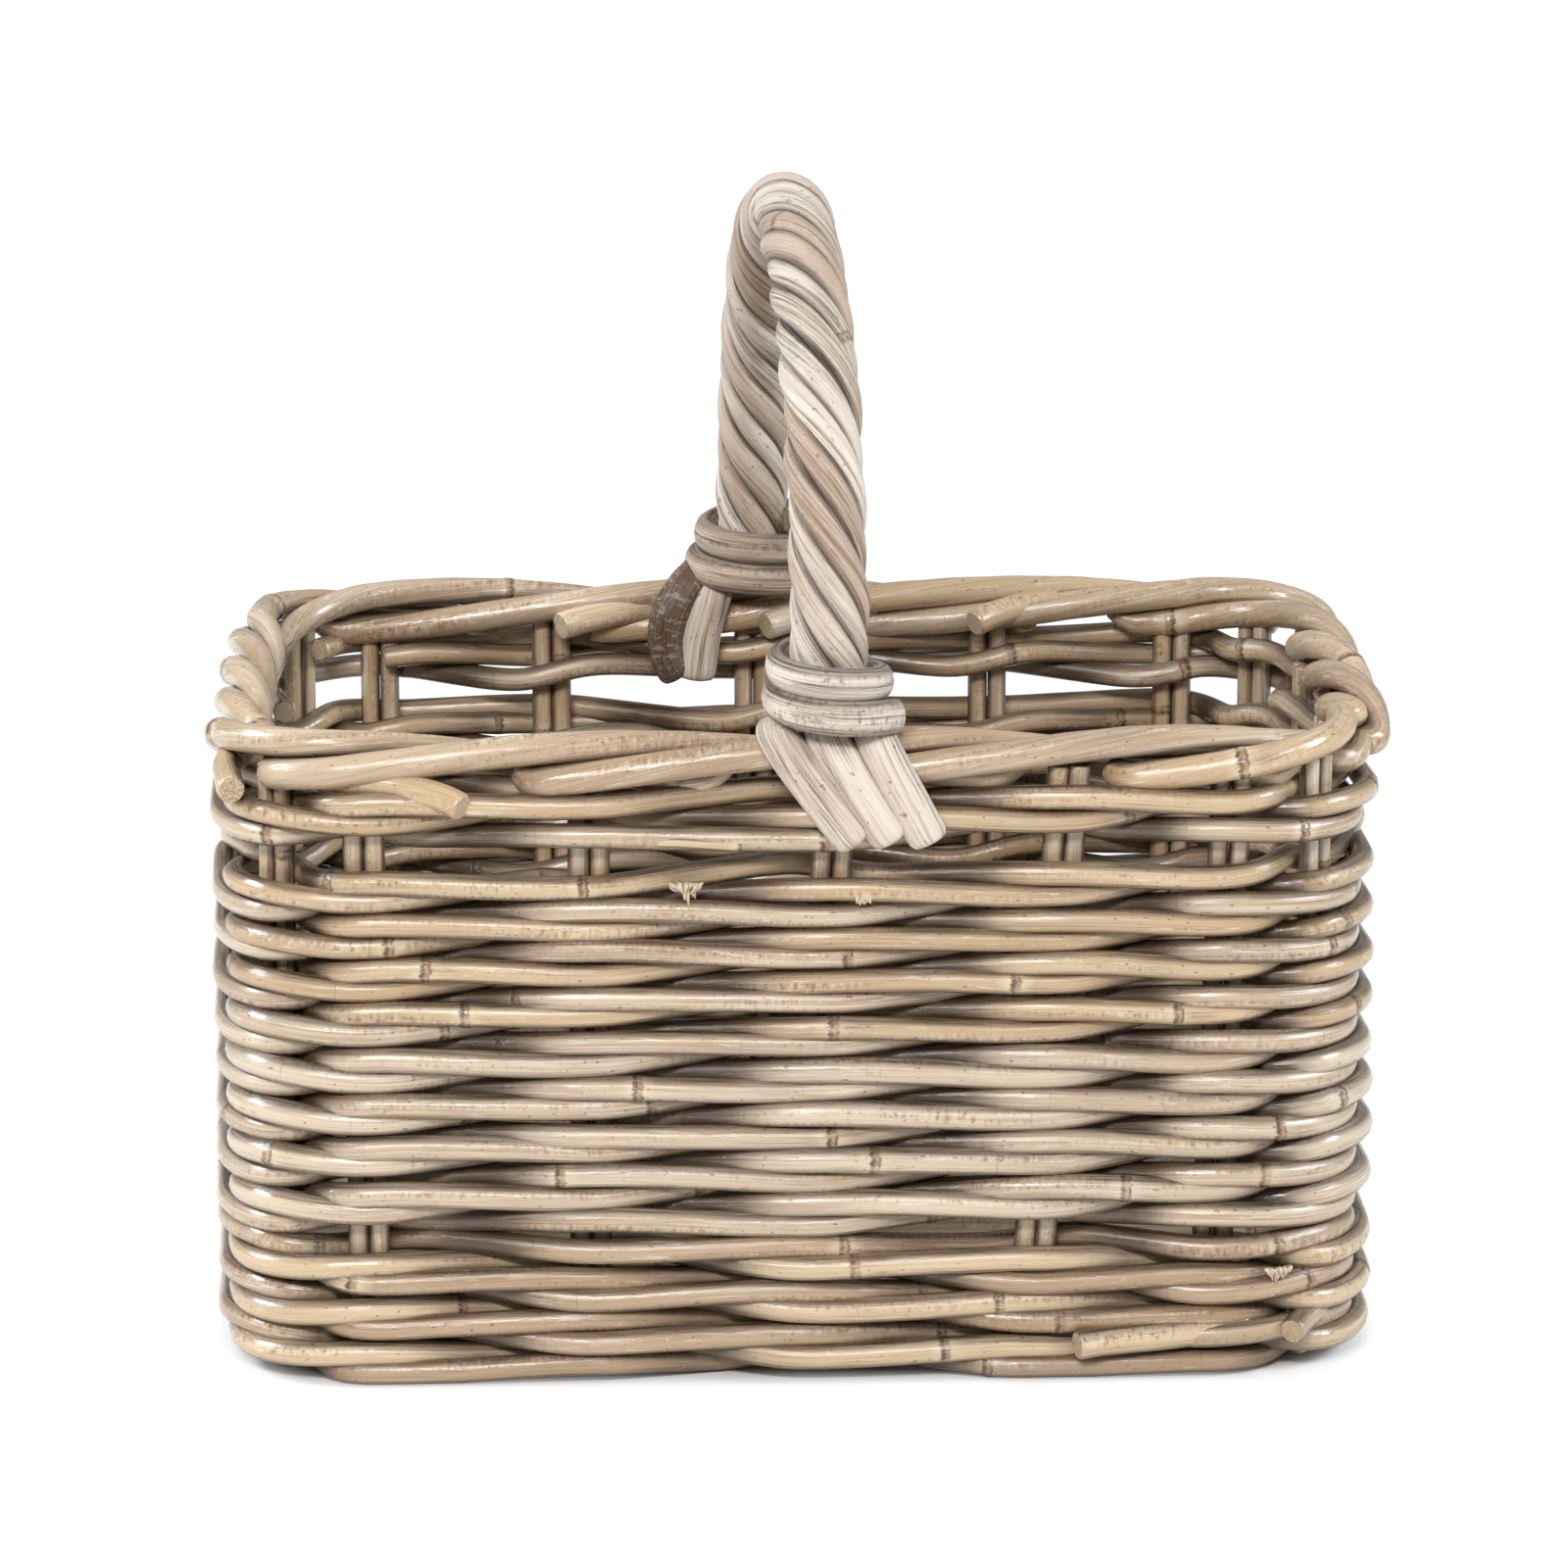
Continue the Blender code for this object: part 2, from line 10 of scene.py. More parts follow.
import bpy
import numpy as np
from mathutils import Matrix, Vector


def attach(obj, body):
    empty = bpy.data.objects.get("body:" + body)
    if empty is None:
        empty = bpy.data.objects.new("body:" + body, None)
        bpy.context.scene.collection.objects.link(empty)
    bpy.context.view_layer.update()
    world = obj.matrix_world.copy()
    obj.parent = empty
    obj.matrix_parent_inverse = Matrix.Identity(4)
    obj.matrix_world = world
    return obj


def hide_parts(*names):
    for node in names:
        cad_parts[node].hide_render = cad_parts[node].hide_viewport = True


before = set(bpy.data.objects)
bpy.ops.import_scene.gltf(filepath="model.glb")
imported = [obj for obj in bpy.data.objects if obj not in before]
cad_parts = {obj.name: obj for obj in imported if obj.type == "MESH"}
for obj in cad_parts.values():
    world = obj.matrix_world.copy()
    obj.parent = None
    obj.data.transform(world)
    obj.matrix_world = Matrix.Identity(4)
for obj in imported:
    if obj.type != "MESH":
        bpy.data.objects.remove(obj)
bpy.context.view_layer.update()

bl_info = {
    "name": "Cane Basket",
    "version": (1, 0, 0),
    "blender": (4, 5, 0),
    "location": "View3D > Sidebar > Basket",
    "description": "Builds a woven cane basket with a roped handle over its frame",
    "category": "Object",
}

# Sizes of the frame
BASKET_WIDTH = 0.400
BASKET_DEPTH = 0.265
WALL_HEIGHT = 0.230
CORNER_RADIUS = 0.038
HANDLE_RISE = 0.170
STAKE_DIAMETER = 0.0076
STAKE_PRESS = 0.0004
ROD_DIAMETER = 0.0068
BORDER_ROD_DIAMETER = 0.0105
STRAND_DIAMETER = 0.0072
COLLAR_DIAMETER = 0.0104
TAIL_THICKNESS = 0.0044
BASE_STICK_DIAMETER = 0.0076
MAT_CANE_DIAMETER = 0.0085
SEAT_GAP = 0.0003
WEAVE_SLACK = 0.0002
FLOOR_GAP = 0.0005
BUTT_GAP = 0.0020
FOOT_ROUNDS = 3
LOW_CANE_ROUNDS = 4
TOP_GAP = 0.0080
STAKE_HOLD = 0.0065
PACKING_SHARE = 0.90
FIRST_OUT_SHARE = 1 / 12
BEHIND_SHARE = 3 / 12
FRONT_TOP_SHARES = (-0.490, -0.236, 0.043, 0.305, 0.490)
FRONT_FOOT_SHARES = (-0.490, -0.236, 0.003, 0.263, 0.472)
SIDE_SHARES = (-0.25, 0.25)
BACK_SHARES = (-0.490, -0.261, 0.029, 0.278, 0.490)
FRONT_FIRST = 1
BACK_FIRST = 10
STATIONS_PER_ROD = 5
BORDER_SPAN = 12
CORNER_STATIONS = 4
FRONT_STATIONS = 15
SIDE_STATIONS = 17
BORDER_NODES = (1, 2, 3, 4, 4, 5, 5, 6, 7, 8, 9, 10, 10, 11, 11, 12)
END_FLARES = (0, 0.0075, 0, 0.0030)
BORDER_START = math.radians(-50)
BORDER_PACKING_SHARE = 0.985
BORDER_SHIFT = 2
STRANDS = 6
LAY_LENGTH = 0.100
STEPS_PER_LAY = 7
ROPE_PACKING_SHARE = 0.795
FRONT_FOOT_X = 0.0105
BACK_FOOT_X = -0.0085
COLLAR_TURNS = 1.7
FRONT_TAIL_START_X = (-0.0080, 0.0085, 0.0250)
FRONT_TAIL_LEANS = (0.0290, 0.0250, 0.0210)
TAIL_DROP = 0.0390
TAIL_ANGLES = tuple(math.radians(angle) for angle in (72, 55, 38, 15, -8))
BASE_RISE = 0.0135
BASE_EDGE_GAP = 0.0010

# Where the canes leave the solids of the frame
TOP_LIFT = 0.0028
STAKE_REACH = 0.0100
FOOT_TRIM = 0.0035
FOOT_LIFT = 0.0008

# How closely the canes' lines are drawn, and how softly they bend
SWEEP_STEP = 0.0030
BEND_EASE = 0.0050
STEP_EASE = 0.0095
CUT_EASE = 0.0006
CUT_GIRTH = 0.90

UP = Vector((0, 0, 1))

# Sizes that follow from those
stake_radius = STAKE_DIAMETER / 2
rod_radius = ROD_DIAMETER / 2
weave_depth = stake_radius + rod_radius + SEAT_GAP + WEAVE_SLACK
wall_reach = weave_depth + rod_radius
half_width = BASKET_WIDTH / 2 - wall_reach
half_depth = BASKET_DEPTH / 2 - wall_reach
arc_length = CORNER_RADIUS * math.pi / 2
front_run = 2 * (half_width - CORNER_RADIUS)
side_run = 2 * (half_depth - CORNER_RADIUS)
side_runs = (front_run, side_run, front_run, side_run)
loop_length = 4 * arc_length + 2 * front_run + 2 * side_run
border_radius = BORDER_ROD_DIAMETER / 2
border_ring = (BORDER_ROD_DIAMETER + SEAT_GAP) / (math.sqrt(3) * BORDER_PACKING_SHARE)
border_axis = WALL_HEIGHT - border_ring - border_radius
border_step = 2 * math.pi / (3 * STATIONS_PER_ROD)
border_end = BORDER_START + BORDER_SPAN * border_step
border_drop = border_ring * max(-math.sin(BORDER_START), -math.sin(border_end))
stake_top = border_axis - border_drop - border_radius - SEAT_GAP
least_pitch = 2 * (ROD_DIAMETER + SEAT_GAP) / PACKING_SHARE
band_rise = ROD_DIAMETER + SEAT_GAP + WEAVE_SLACK
low_limit = FLOOR_GAP + rod_radius
high_limit = stake_top - rod_radius
round_space = high_limit - low_limit - band_rise - TOP_GAP
rounds = max(FOOT_ROUNDS + 3, math.floor(round_space / least_pitch + 1 / 3))
pitch = round_space / (rounds - 2 / 3 + 4 * FIRST_OUT_SHARE)
foot_level = low_limit + FIRST_OUT_SHARE * pitch
foot_top = foot_level + (FOOT_ROUNDS - 1 / 3 + FIRST_OUT_SHARE) * pitch
wall_foot = foot_top + band_rise
wall_rounds = rounds - FOOT_ROUNDS
wall_level = wall_foot + (2 / 3 + FIRST_OUT_SHARE) * pitch
rope_ring = (STRAND_DIAMETER + SEAT_GAP) / ROPE_PACKING_SHARE
rope_radius = rope_ring + STRAND_DIAMETER / 2
core_reach = rope_ring * math.cos(math.pi / STEPS_PER_LAY)
core_radius = core_reach - STRAND_DIAMETER / 2 - SEAT_GAP
handle_foot = WALL_HEIGHT + SEAT_GAP
front_foot = Vector((FRONT_FOOT_X, -half_depth, handle_foot))
back_foot = Vector((BACK_FOOT_X, half_depth, handle_foot))
bow_span = back_foot - front_foot
bow_way = bow_span.normalized()
bow_radius = bow_span.length / 2
bow_side = bow_way.cross(UP)
leg_length = HANDLE_RISE - rope_radius - SEAT_GAP - bow_radius
bow_length = 2 * leg_length + math.pi * bow_radius

corner_places = [
    0,
    arc_length + front_run,
    2 * arc_length + front_run + side_run,
    3 * arc_length + 2 * front_run + side_run,
]
run_middles = [(a + b) / 2 for a, b in zip(corner_places, corner_places[1:] + [loop_length])]
corner_centres = [
    Vector((x * (half_width - CORNER_RADIUS), y * (half_depth - CORNER_RADIUS), 0))
    for x, y in ((-1, -1), (1, -1), (1, 1), (-1, 1))
]


def colour(red, green, blue):
    """Linear colour for one written in 0 to 255 as a screen shows it."""
    shares = [part / 255 for part in (red, green, blue)]
    return [s / 12.92 if s <= 0.04045 else ((s + 0.055) / 1.055) ** 2.4 for s in shares]


# What a user would change
def property_kind(**settings):
    """Function that declares a number with these settings."""

    def declare(name, description, default):
        return bpy.props.FloatProperty(name=name, description=description, default=default, **settings)

    return declare


length_property = property_kind(unit="LENGTH")
camera_property = property_kind(unit="CAMERA")
power_property = property_kind(unit="POWER")
angle_property = property_kind(subtype="ANGLE")
share_property = property_kind(subtype="FACTOR")
strength_property = property_kind(min=0)


def colour_property(name, description, default):
    return bpy.props.FloatVectorProperty(
        name=name, description=description, default=default, subtype="COLOR", min=0, max=1
    )


class BasketCanes(bpy.types.PropertyGroup):
    """Thickness and growth of the canes."""

    rod: length_property("Wall rod", "Thickness of the canes woven round the wall", 0.0090)
    depth: length_property("Weave depth", "From the stakes' line to a wall rod's middle", 0.0082)
    overlay: length_property("Overlay", "How far a rod lies over the next one where it comes out", 0.0012)
    stake: length_property("Stake", "Thickness of the upright canes", 0.0074)
    border: length_property("Border rod", "Thickness of the canes rolled round the rim", 0.0107)
    strand: length_property("Handle strand", "Width of the canes laid round the handle", 0.0096)
    collar: length_property("Collar cane", "Width of the cane wound round the handle's feet", 0.0119)
    tail: length_property("Tail", "Width of the canes that tie the handle to the rim", 0.0145)
    base: length_property("Base cane", "Thickness of the canes of the mat", 0.0083)
    growth: length_property("Growth", "Length of cane from one node ring to the next", 0.205)
    swelling: share_property("Swelling", "How far a node ring stands proud, as a share of the radius", 0.075)
    unevenness: share_property("Unevenness", "How much a cane's thickness varies along it", 0.05)
    wander: length_property("Wander", "How far a cane strays from its true line", 0.0020)
    sides: bpy.props.IntProperty(name="Sides", description="Faces round a cane", default=14, min=6, max=32)


class BasketFinish(bpy.types.PropertyGroup):
    """Colours of the canes."""

    light: colour_property("Cane, light", "Skin of a fresh cane", colour(209, 190, 165))
    dark: colour_property("Cane, dark", "Skin of an old cane", colour(162, 134, 104))
    grey: colour_property("Weathering", "Grey streaks on the skin", colour(176, 162, 146))
    pale: colour_property("Halo", "Pale band beside a node ring", colour(226, 208, 176))
    ring: colour_property("Node ring", "Scar at a node", colour(84, 58, 40))
    stain: colour_property("Stain", "Brown streaks and specks", colour(116, 82, 54))
    scuff: colour_property("Scuff", "Chalky scrapes", colour(228, 219, 204))
    pith: colour_property("Pith", "Cut end of a cane", colour(206, 182, 148))
    bark: colour_property("Bark", "Dark skin left on one strap", colour(124, 94, 70))
    # Colour of the painted shade in the crevices, which also stands for brown dirt there
    grime_and_shade: colour_property("Grime and shade", "Brown dirt in the crevices", colour(54, 37, 25))
    # Colour of the painted shade where a cane goes in under the next one
    painted_shade: colour_property("Painted shade", "Painted shade where a cane goes in under the next one", colour(64, 44, 29))
    gold: colour_property("Gold", "Skin of the yellower canes", colour(207, 178, 138))
    russet: colour_property("Russet", "Skin of the browner canes", colour(174, 145, 113))
    brown: colour_property("Brown", "Brown patches", colour(150, 117, 87))
    handle_light: colour_property("Handle, light", "Peeled cane of the handle", colour(224, 209, 195))
    handle_dark: colour_property("Handle, dark", "Fibres of the handle", colour(190, 166, 145))


class BasketStage(bpy.types.PropertyGroup):
    """Camera, floor and lamps."""

    lens: camera_property("Lens", "Focal length in mm", 165.9)
    camera_place: bpy.props.FloatVectorProperty(
        name="Camera", description="Place of the camera", default=(-0.0787, -2.5089, 0.7986), unit="LENGTH"
    )
    camera_turn: angle_property("Turn", "Turn of the camera to the right", math.radians(1.776))
    camera_tilt: angle_property("Tilt", "Tilt of the camera downwards", math.radians(13.83))
    floor: colour_property("Floor", "Pale floor", (0.84, 0.81, 0.78))
    floor_size: length_property("Floor size", "Side of the floor", 40.0)
    floor_glow: share_property("Floor glow", "Share of plain white that the camera sees in the floor", 0.80)
    floor_white: strength_property("Floor white", "Strength of that white", 1.08)
    key: power_property("Key", "Power of the front lamp", 53.0)
    right: power_property("Right", "Power of the lamp on the right", 42.0)
    left: power_property("Left", "Power of the lamp on the left", 54.0)
    back: power_property("Back", "Power of the rear lamp", 15.0)
    daylight: colour_property("Daylight", "Light of the lamps on both sides", (0.80, 0.91, 1.0))
    sky: strength_property("Sky", "Strength of the room's light", 0.31)


# Shader and geometry maths
class Value:
    """A node's output that can be used in sums."""

    def __init__(self, kit, socket):
        self.kit = kit
        self.socket = socket

    def maths(self, operation, *others):
        inputs = dict(enumerate((self, *others)))
        return self.kit.add("ShaderNodeMath", {"operation": operation}, inputs)

    def __add__(self, other):
        return self.maths("ADD", other)

    def __sub__(self, other):
        return self.maths("SUBTRACT", other)

    def __mul__(self, other):
        return self.maths("MULTIPLY", other)

    def __truediv__(self, other):
        return self.maths("DIVIDE", other)

    def __radd__(self, other):
        return self.maths("ADD", other)

    def __rmul__(self, other):
        return self.maths("MULTIPLY", other)

    def __rsub__(self, other):
        return self.kit.add("ShaderNodeMath", {"operation": "SUBTRACT"}, {0: other, 1: self})

    def __rtruediv__(self, other):
        return self.kit.add("ShaderNodeMath", {"operation": "DIVIDE"}, {0: other, 1: self})

    def size(self):
        return self.maths("ABSOLUTE")

    def whole(self):
        return self.maths("FLOOR")

    def exponent(self):
        return self.maths("EXPONENT")

    def between(self, low, high):
        """0 below low, 1 above high and a smooth rise from one to the other."""
        settings = {"interpolation_type": "SMOOTHSTEP"}
        inputs = {0: self, 1: low, 2: high}
        return self.kit.add("ShaderNodeMapRange", settings, inputs)


class NodeKit:
    """Adds nodes to a tree."""

    def __init__(self, tree):
        self.tree = tree

    def add(self, kind, settings=None, inputs=None, output=0):
        """Output of a new node, with its settings set first and then its inputs' values or links."""
        made = self.tree.nodes.new(kind)
        for name, value in (settings or {}).items():
            setattr(made, name, value)
        for key, value in (inputs or {}).items():
            if isinstance(value, Value):
                self.tree.links.new(value.socket, made.inputs[key])
            else:
                made.inputs[key].default_value = value
        return Value(self, made.outputs[output]) if len(made.outputs) else made

    def named(self, name, data_type="FLOAT"):
        return self.add("GeometryNodeInputNamedAttribute", {"data_type": data_type}, {"Name": name})

    def attribute(self, name, output="Fac"):
        """The mesh's attribute in a shader, as a number unless another output is named."""
        return self.add("ShaderNodeAttribute", {"attribute_name": name}, None, output)

    def store(self, geometry, name, value, data_type="FLOAT", domain="POINT"):
        settings = {"data_type": data_type, "domain": domain}
        inputs = {"Geometry": geometry, "Name": name, "Value": value}
        return self.add("GeometryNodeStoreNamedAttribute", settings, inputs)


SWEEP_INPUTS = (
    ("Line", "NodeSocketGeometry"),
    ("Radius", "NodeSocketFloat"),
    ("Thinness", "NodeSocketFloat"),
    ("Sides", "NodeSocketInt"),
    ("Growth", "NodeSocketFloat"),
    ("Swelling", "NodeSocketFloat"),
    ("Unevenness", "NodeSocketFloat"),
    ("Stacked", "NodeSocketFloat"),
    ("Contact", "NodeSocketFloat"),
    ("Seed", "NodeSocketInt"),
    ("Finish", "NodeSocketMaterial"),
)
RING_WIDTH = 0.0018
GROWTH_JITTER = (0.15, 0.85)
UNEVEN_SCALE = 16.0

# Part of a section in a crevice, where the finishes paint shade mixed with dirt: sideways where canes are
# stacked, else further in than their contact
STACKED_CREVICE = (0.40, 0.95)
CONTACT_CREVICE = (-0.1, 0.3)

# A face with more neighbours than those of the skin is a cut end
SKIN_NEIGHBOURS = 4.5


def sweep_tree():
    """Tree that sweeps a cane's section along its line, with swollen node rings and cut ends."""
    if "cane_sweep" in bpy.data.node_groups:
        return bpy.data.node_groups["cane_sweep"]
    tree = bpy.data.node_groups.new("cane_sweep", "GeometryNodeTree")
    for name, kind in SWEEP_INPUTS:
        tree.interface.new_socket(name, in_out="INPUT", socket_type=kind)
    tree.interface.new_socket("Cane", in_out="OUTPUT", socket_type="NodeSocketGeometry")
    kit = NodeKit(tree)
    entry = tree.nodes.new("NodeGroupInput")
    given = {name: Value(kit, entry.outputs[name]) for name, _ in SWEEP_INPUTS}
    line = kit.add("GeometryNodeMeshToCurve", None, {"Mesh": given["Line"]})
    normal = {"Curve": line, "Normal": kit.named("outward", "FLOAT_VECTOR")}
    line = kit.add("GeometryNodeSetCurveNormal", {"mode": "FREE"}, normal)
    run = kit.named("run")
    cell = (run / given["Growth"]).whole()
    jitter = kit.add(
        "FunctionNodeRandomValue",
        {"data_type": "FLOAT"},
        {2: GROWTH_JITTER[0], 3: GROWTH_JITTER[1], "ID": cell, "Seed": given["Seed"]},
        1,
    )
    gap = run - (cell + jitter) * given["Growth"]
    nearness = gap / RING_WIDTH
    swell = given["Swelling"] * (nearness * nearness * -1).exponent()
    waves = {"W": run * UNEVEN_SCALE, "Scale": 1.0}
    noise = kit.add("ShaderNodeTexNoise", {"noise_dimensions": "1D"}, waves)
    uneven = (noise - 0.5) * 2 * given["Unevenness"]
    radius = given["Radius"] * kit.named("girth") * (1 + swell + uneven)
    line = kit.store(line, "gap", gap)
    circle = {"Resolution": given["Sides"], "Radius": 1.0}
    section = kit.add("GeometryNodeCurvePrimitiveCircle", None, circle)
    section = kit.store(section, "section", kit.add("GeometryNodeInputPosition"), "FLOAT_VECTOR")
    scale = kit.add("ShaderNodeCombineXYZ", None, {"X": given["Thinness"], "Y": 1.0, "Z": 1.0})
    section = kit.add("GeometryNodeTransform", None, {"Geometry": section, "Scale": scale})
    along_line = {"Curve": line, "Profile Curve": section, "Scale": radius, "Fill Caps": True}
    swept = kit.add("GeometryNodeCurveToMesh", None, along_line)
    outwardness = kit.add("ShaderNodeSeparateXYZ", None, {0: kit.named("section", "FLOAT_VECTOR")})
    sideways = Value(kit, outwardness.socket.node.outputs["Y"])
    grain = kit.add("ShaderNodeCombineXYZ", None, {"X": run, "Y": outwardness, "Z": sideways})
    swept = kit.store(swept, "grain", grain, "FLOAT_VECTOR")
    beside = sideways.size().between(*STACKED_CREVICE)
    within = 1 - (outwardness - given["Contact"]).between(*CONTACT_CREVICE)
    swept = kit.store(swept, "crevice", within + (beside - within) * given["Stacked"])
    neighbours = kit.add("GeometryNodeInputMeshFaceNeighbors")
    is_cut = neighbours.maths("GREATER_THAN", SKIN_NEIGHBOURS)
    swept = kit.store(swept, "cut", is_cut, "FLOAT", "FACE")
    smooth = {"Geometry": swept, "Shade Smooth": 1 - is_cut}
    swept = kit.add("GeometryNodeSetShadeSmooth", {"domain": "FACE"}, smooth)
    swept = kit.add("GeometryNodeRealizeInstances", None, {"Geometry": swept})
    swept = kit.add("GeometryNodeSetMaterial", None, {"Geometry": swept, "Material": given["Finish"]})
    kit.add("NodeGroupOutput", None, {"Cane": swept})
    return tree


RUN_STARTS = (0, 40)
SEEDS = 9973


class CaneLine:
    """Middle line of one cane through (point, outward way) pairs, with its girth at each point."""

    def __init__(self, pairs, dice, girth=1.0, shade=0.0):
        points, outward = (np.array([tuple(entry) for entry in column], float) for column in zip(*pairs))
        steps = np.linalg.norm(np.diff(points, axis=0), axis=1)
        run = np.concatenate([[0], np.cumsum(steps)])
        ends = np.array([0, CUT_EASE, run[-1] - CUT_EASE, run[-1]])
        keep = (run > 2 * CUT_EASE) & (run < run[-1] - 2 * CUT_EASE)
        at = np.sort(np.concatenate([ends, run[keep]]))
        self.points = np.stack([np.interp(at, run, column) for column in points.T], 1)
        self.outward = np.stack([np.interp(at, run, column) for column in outward.T], 1)
        self.girth = np.full(len(at), girth)
        self.girth[[0, -1]] *= CUT_GIRTH
        self.run = at + dice.uniform(*RUN_STARTS)
        self.tint = np.full(len(at), dice.uniform(0, 1))
        self.shade = np.interp(at, run, np.broadcast_to(shade, len(points)))
        way = np.gradient(self.points, axis=0)
        way /= np.linalg.norm(way, axis=1)[:, None]
        self.outward -= way * (self.outward * way).sum(1)[:, None]
        self.outward /= np.linalg.norm(self.outward, axis=1)[:, None]


def linked(name, data):
    """New object in the scene with this data."""
    made = bpy.data.objects.new(name, data)
    bpy.context.scene.collection.objects.link(made)
    return made


def sweep(name, lines, diameter, finish, slot, thinness=1.0, growth=1.0, stacked=0.0, contact=-0.5):
    """Piece made of canes along their lines, standing for the node of the frame with its name.

    Its node rings are growth times as far apart as the wall's. Stacked canes touch above and below.
    Others touch where their skin leans from the outward way so far that the cosine is less than contact.
    """
    canes = bpy.context.scene.basket_canes
    data = bpy.data.meshes.new(name)
    edges = []
    start = 0
    for line in lines:
        edges += [(start + step, start + step + 1) for step in range(len(line.points) - 1)]
        start += len(line.points)
    points = np.concatenate([line.points for line in lines])
    data.from_pydata(points.tolist(), edges, [])
    for key in ("girth", "run", "tint", "shade"):
        values = np.concatenate([getattr(line, key) for line in lines])
        data.attributes.new(key, "FLOAT", "POINT").data.foreach_set("value", values.astype(np.float32))
    values = np.concatenate([line.outward for line in lines]).astype(np.float32)
    data.attributes.new("outward", "FLOAT_VECTOR", "POINT").data.foreach_set("vector", values.ravel())
    piece = linked(f"{name}_cane", data)
    tree = sweep_tree()
    modifier = piece.modifiers.new("sweep", "NODES")
    modifier.node_group = tree
    given = {
        "Radius": diameter / 2,
        "Thinness": thinness,
        "Sides": canes.sides,
        "Growth": canes.growth * growth,
        "Swelling": canes.swelling,
        "Unevenness": canes.unevenness,
        "Stacked": stacked,
        "Contact": contact,
        "Seed": zlib.crc32(name.encode()) % SEEDS,
        "Finish": finish,
    }
    for item in tree.interface.items_tree:
        if item.name in given:
            modifier[item.identifier] = given[item.name]
    bpy.context.view_layer.update()
    graph = bpy.context.evaluated_depsgraph_get()
    swept = piece.evaluated_get(graph)
    made = bpy.data.meshes.new_from_object(swept, preserve_all_data_layers=True, depsgraph=graph)
    piece.modifiers.clear()
    piece.data = made
    bpy.data.meshes.remove(data)
    made.name = piece.name
    for key in ("outward", "girth", "section", "run"):
        if key in made.attributes:
            made.attributes.remove(made.attributes[key])
    if not made.materials:
        made.materials.append(finish)
    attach(piece, "root")
    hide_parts(name)
    return piece


def dice_for(name):
    return np.random.default_rng(zlib.crc32(name.encode()))


# Finishes
def mix(kit, low, high, share):
    """Colour between two others. Sockets 6, 7 and 2 are the node's sockets for colours."""
    low, high = (each if isinstance(each, Value) else (*each, 1) for each in (low, high))
    return kit.add("ShaderNodeMix", {"data_type": "RGBA"}, {0: share, 6: low, 7: high}, 2)


# Noises on the skin: scale along the cane per metre and across it per radius, detail and roughness,
# then the values where its marks begin and are full
NOISES = {
    "broad": (9, 0.45, 2, 0.55),
    "streak": (13, 3.2, 4, 0.55),
    "fine": (45, 11, 3, 0.7),
    "hair": (6, 16, 3, 0.7),
    "fissure": (9, 7.5, 4, 0.6),
    "fissured": (17, 1.2, 2, 0.55, 0.42, 0.62),
    "weather": (7, 1.1, 5, 0.65),
    "patch": (8, 2.4, 4, 0.65, 0.54, 0.70),
    "craze": (760, 1.6, 2, 0.55),
    "crazed": (9, 0.9, 3, 0.55),
    "halo_edge": (60, 1.5, 2, 0.55),
    "halo": (5, 0.2, 1, 0.55, 0.35, 0.60),
    "ring_stain": (22, 1.8, 5, 0.7, 0.50, 0.68),
    "long_stain": (11, 4.5, 3, 0.6, 0.64, 0.74),
    "speck": (420, 3.0, 1, 0.5, 0.685, 0.75),
    "scuff": (34, 1.7, 8, 0.75, 0.585, 0.66),
    "scrape": (14, 7.0, 5, 0.7, 0.60, 0.68),
    "ring_edge": (90, 3.6, 4, 0.7),
    "worn_ring": (30, 1.8, 4, 0.65, 0.36, 0.58),
    "far_line": (19, 0.8, 2, 0.55, 0.46, 0.58),
    "pore": (1, 9, 2, 0.55, 0.46, 0.62),
    "painted_shade": (18, 2.6, 5, 0.7),
    "grime_and_shade": (26, 2.2, 4, 0.65, 0.35, 0.65),
    "dirt_and_shade": (17, 3.2, 5, 0.75, 0.52, 0.64),
    "polish": (16, 6, 4, 0.7, 0.40, 0.62),
}

# Bands beside a node ring, in metres: middle, half width where full and half width where gone
BANDS = {
    "halo": (0.0, 0.0010, 0.0075),
    "ring_stain": (0.0060, 0.0020, 0.0110),
    "scar": (0.0, 0.0009, 0.0019),
    "near_line": (-0.0012, 0.0003, 0.0012),
    "far_line": (0.0013, 0.0001, 0.0006),
}
FISSURE_BAND = (0.5, 0.004, 0.03)
HALO_JAG = 0.0060
RING_JAG = 0.0036

# How strongly each mark covers the colours under it
COVERS = {
    "hair_brown": 0.45, "hair_scuff": 0.35, "gold": 0.55, "russet": 0.60, "craze_scuff": 0.30,
    "halo": 0.50, "ring_stain": 0.60, "long_stain": 0.55, "speck": 0.60, "scuff": 0.55, "scrape": 0.50,
    "far_line": 0.80, "pore": 0.55, "painted_shade": 0.92,
}

# Shares in the tone between a skin's light and dark colour, and where the tone is light and dark
TONE = {"broad": 0.90, "streak": 0.80, "fine": 0.60, "tint": 0.65, "shift": 0.99}
TONE_LIMITS = (0.08, 0.85)
HUES = 7.31
GOLD_HUES = (0.35, 0.85)
RUSSET_HUE = 0.22
RUSSET_EASE = 0.20
HAIR_BROWN = (0.52, 0.70)
HAIR_SCUFF = (0.56, 0.72)
WEATHER_GREY = (0.50, 0.72)
WEATHER_ROUGH = (0.50, 0.75)
CRAZE_SCUFF = (0.52, 0.64)
CRAZE_STAIN = (0.54, 0.66)
CRAZED_EASE = 0.16

# Least share of a worn mark, and the rest that its own noise adds
WORN_SCAR = (0.35, 0.60)
WORN_LINE = (0.35, 0.65)
WORN_GRIME_AND_SHADE = (0.50, 0.50)
# Painted shade under the next cane: its reach, its stray, and where it begins and is full
PAINTED_SHADE_REACH = 1.15
PAINTED_SHADE_STRAY = 0.90
PAINTED_SHADE_LIMITS = (0.08, 1.15)
DIRT_AND_SHADE_CREVICE = (0.0, 0.30)

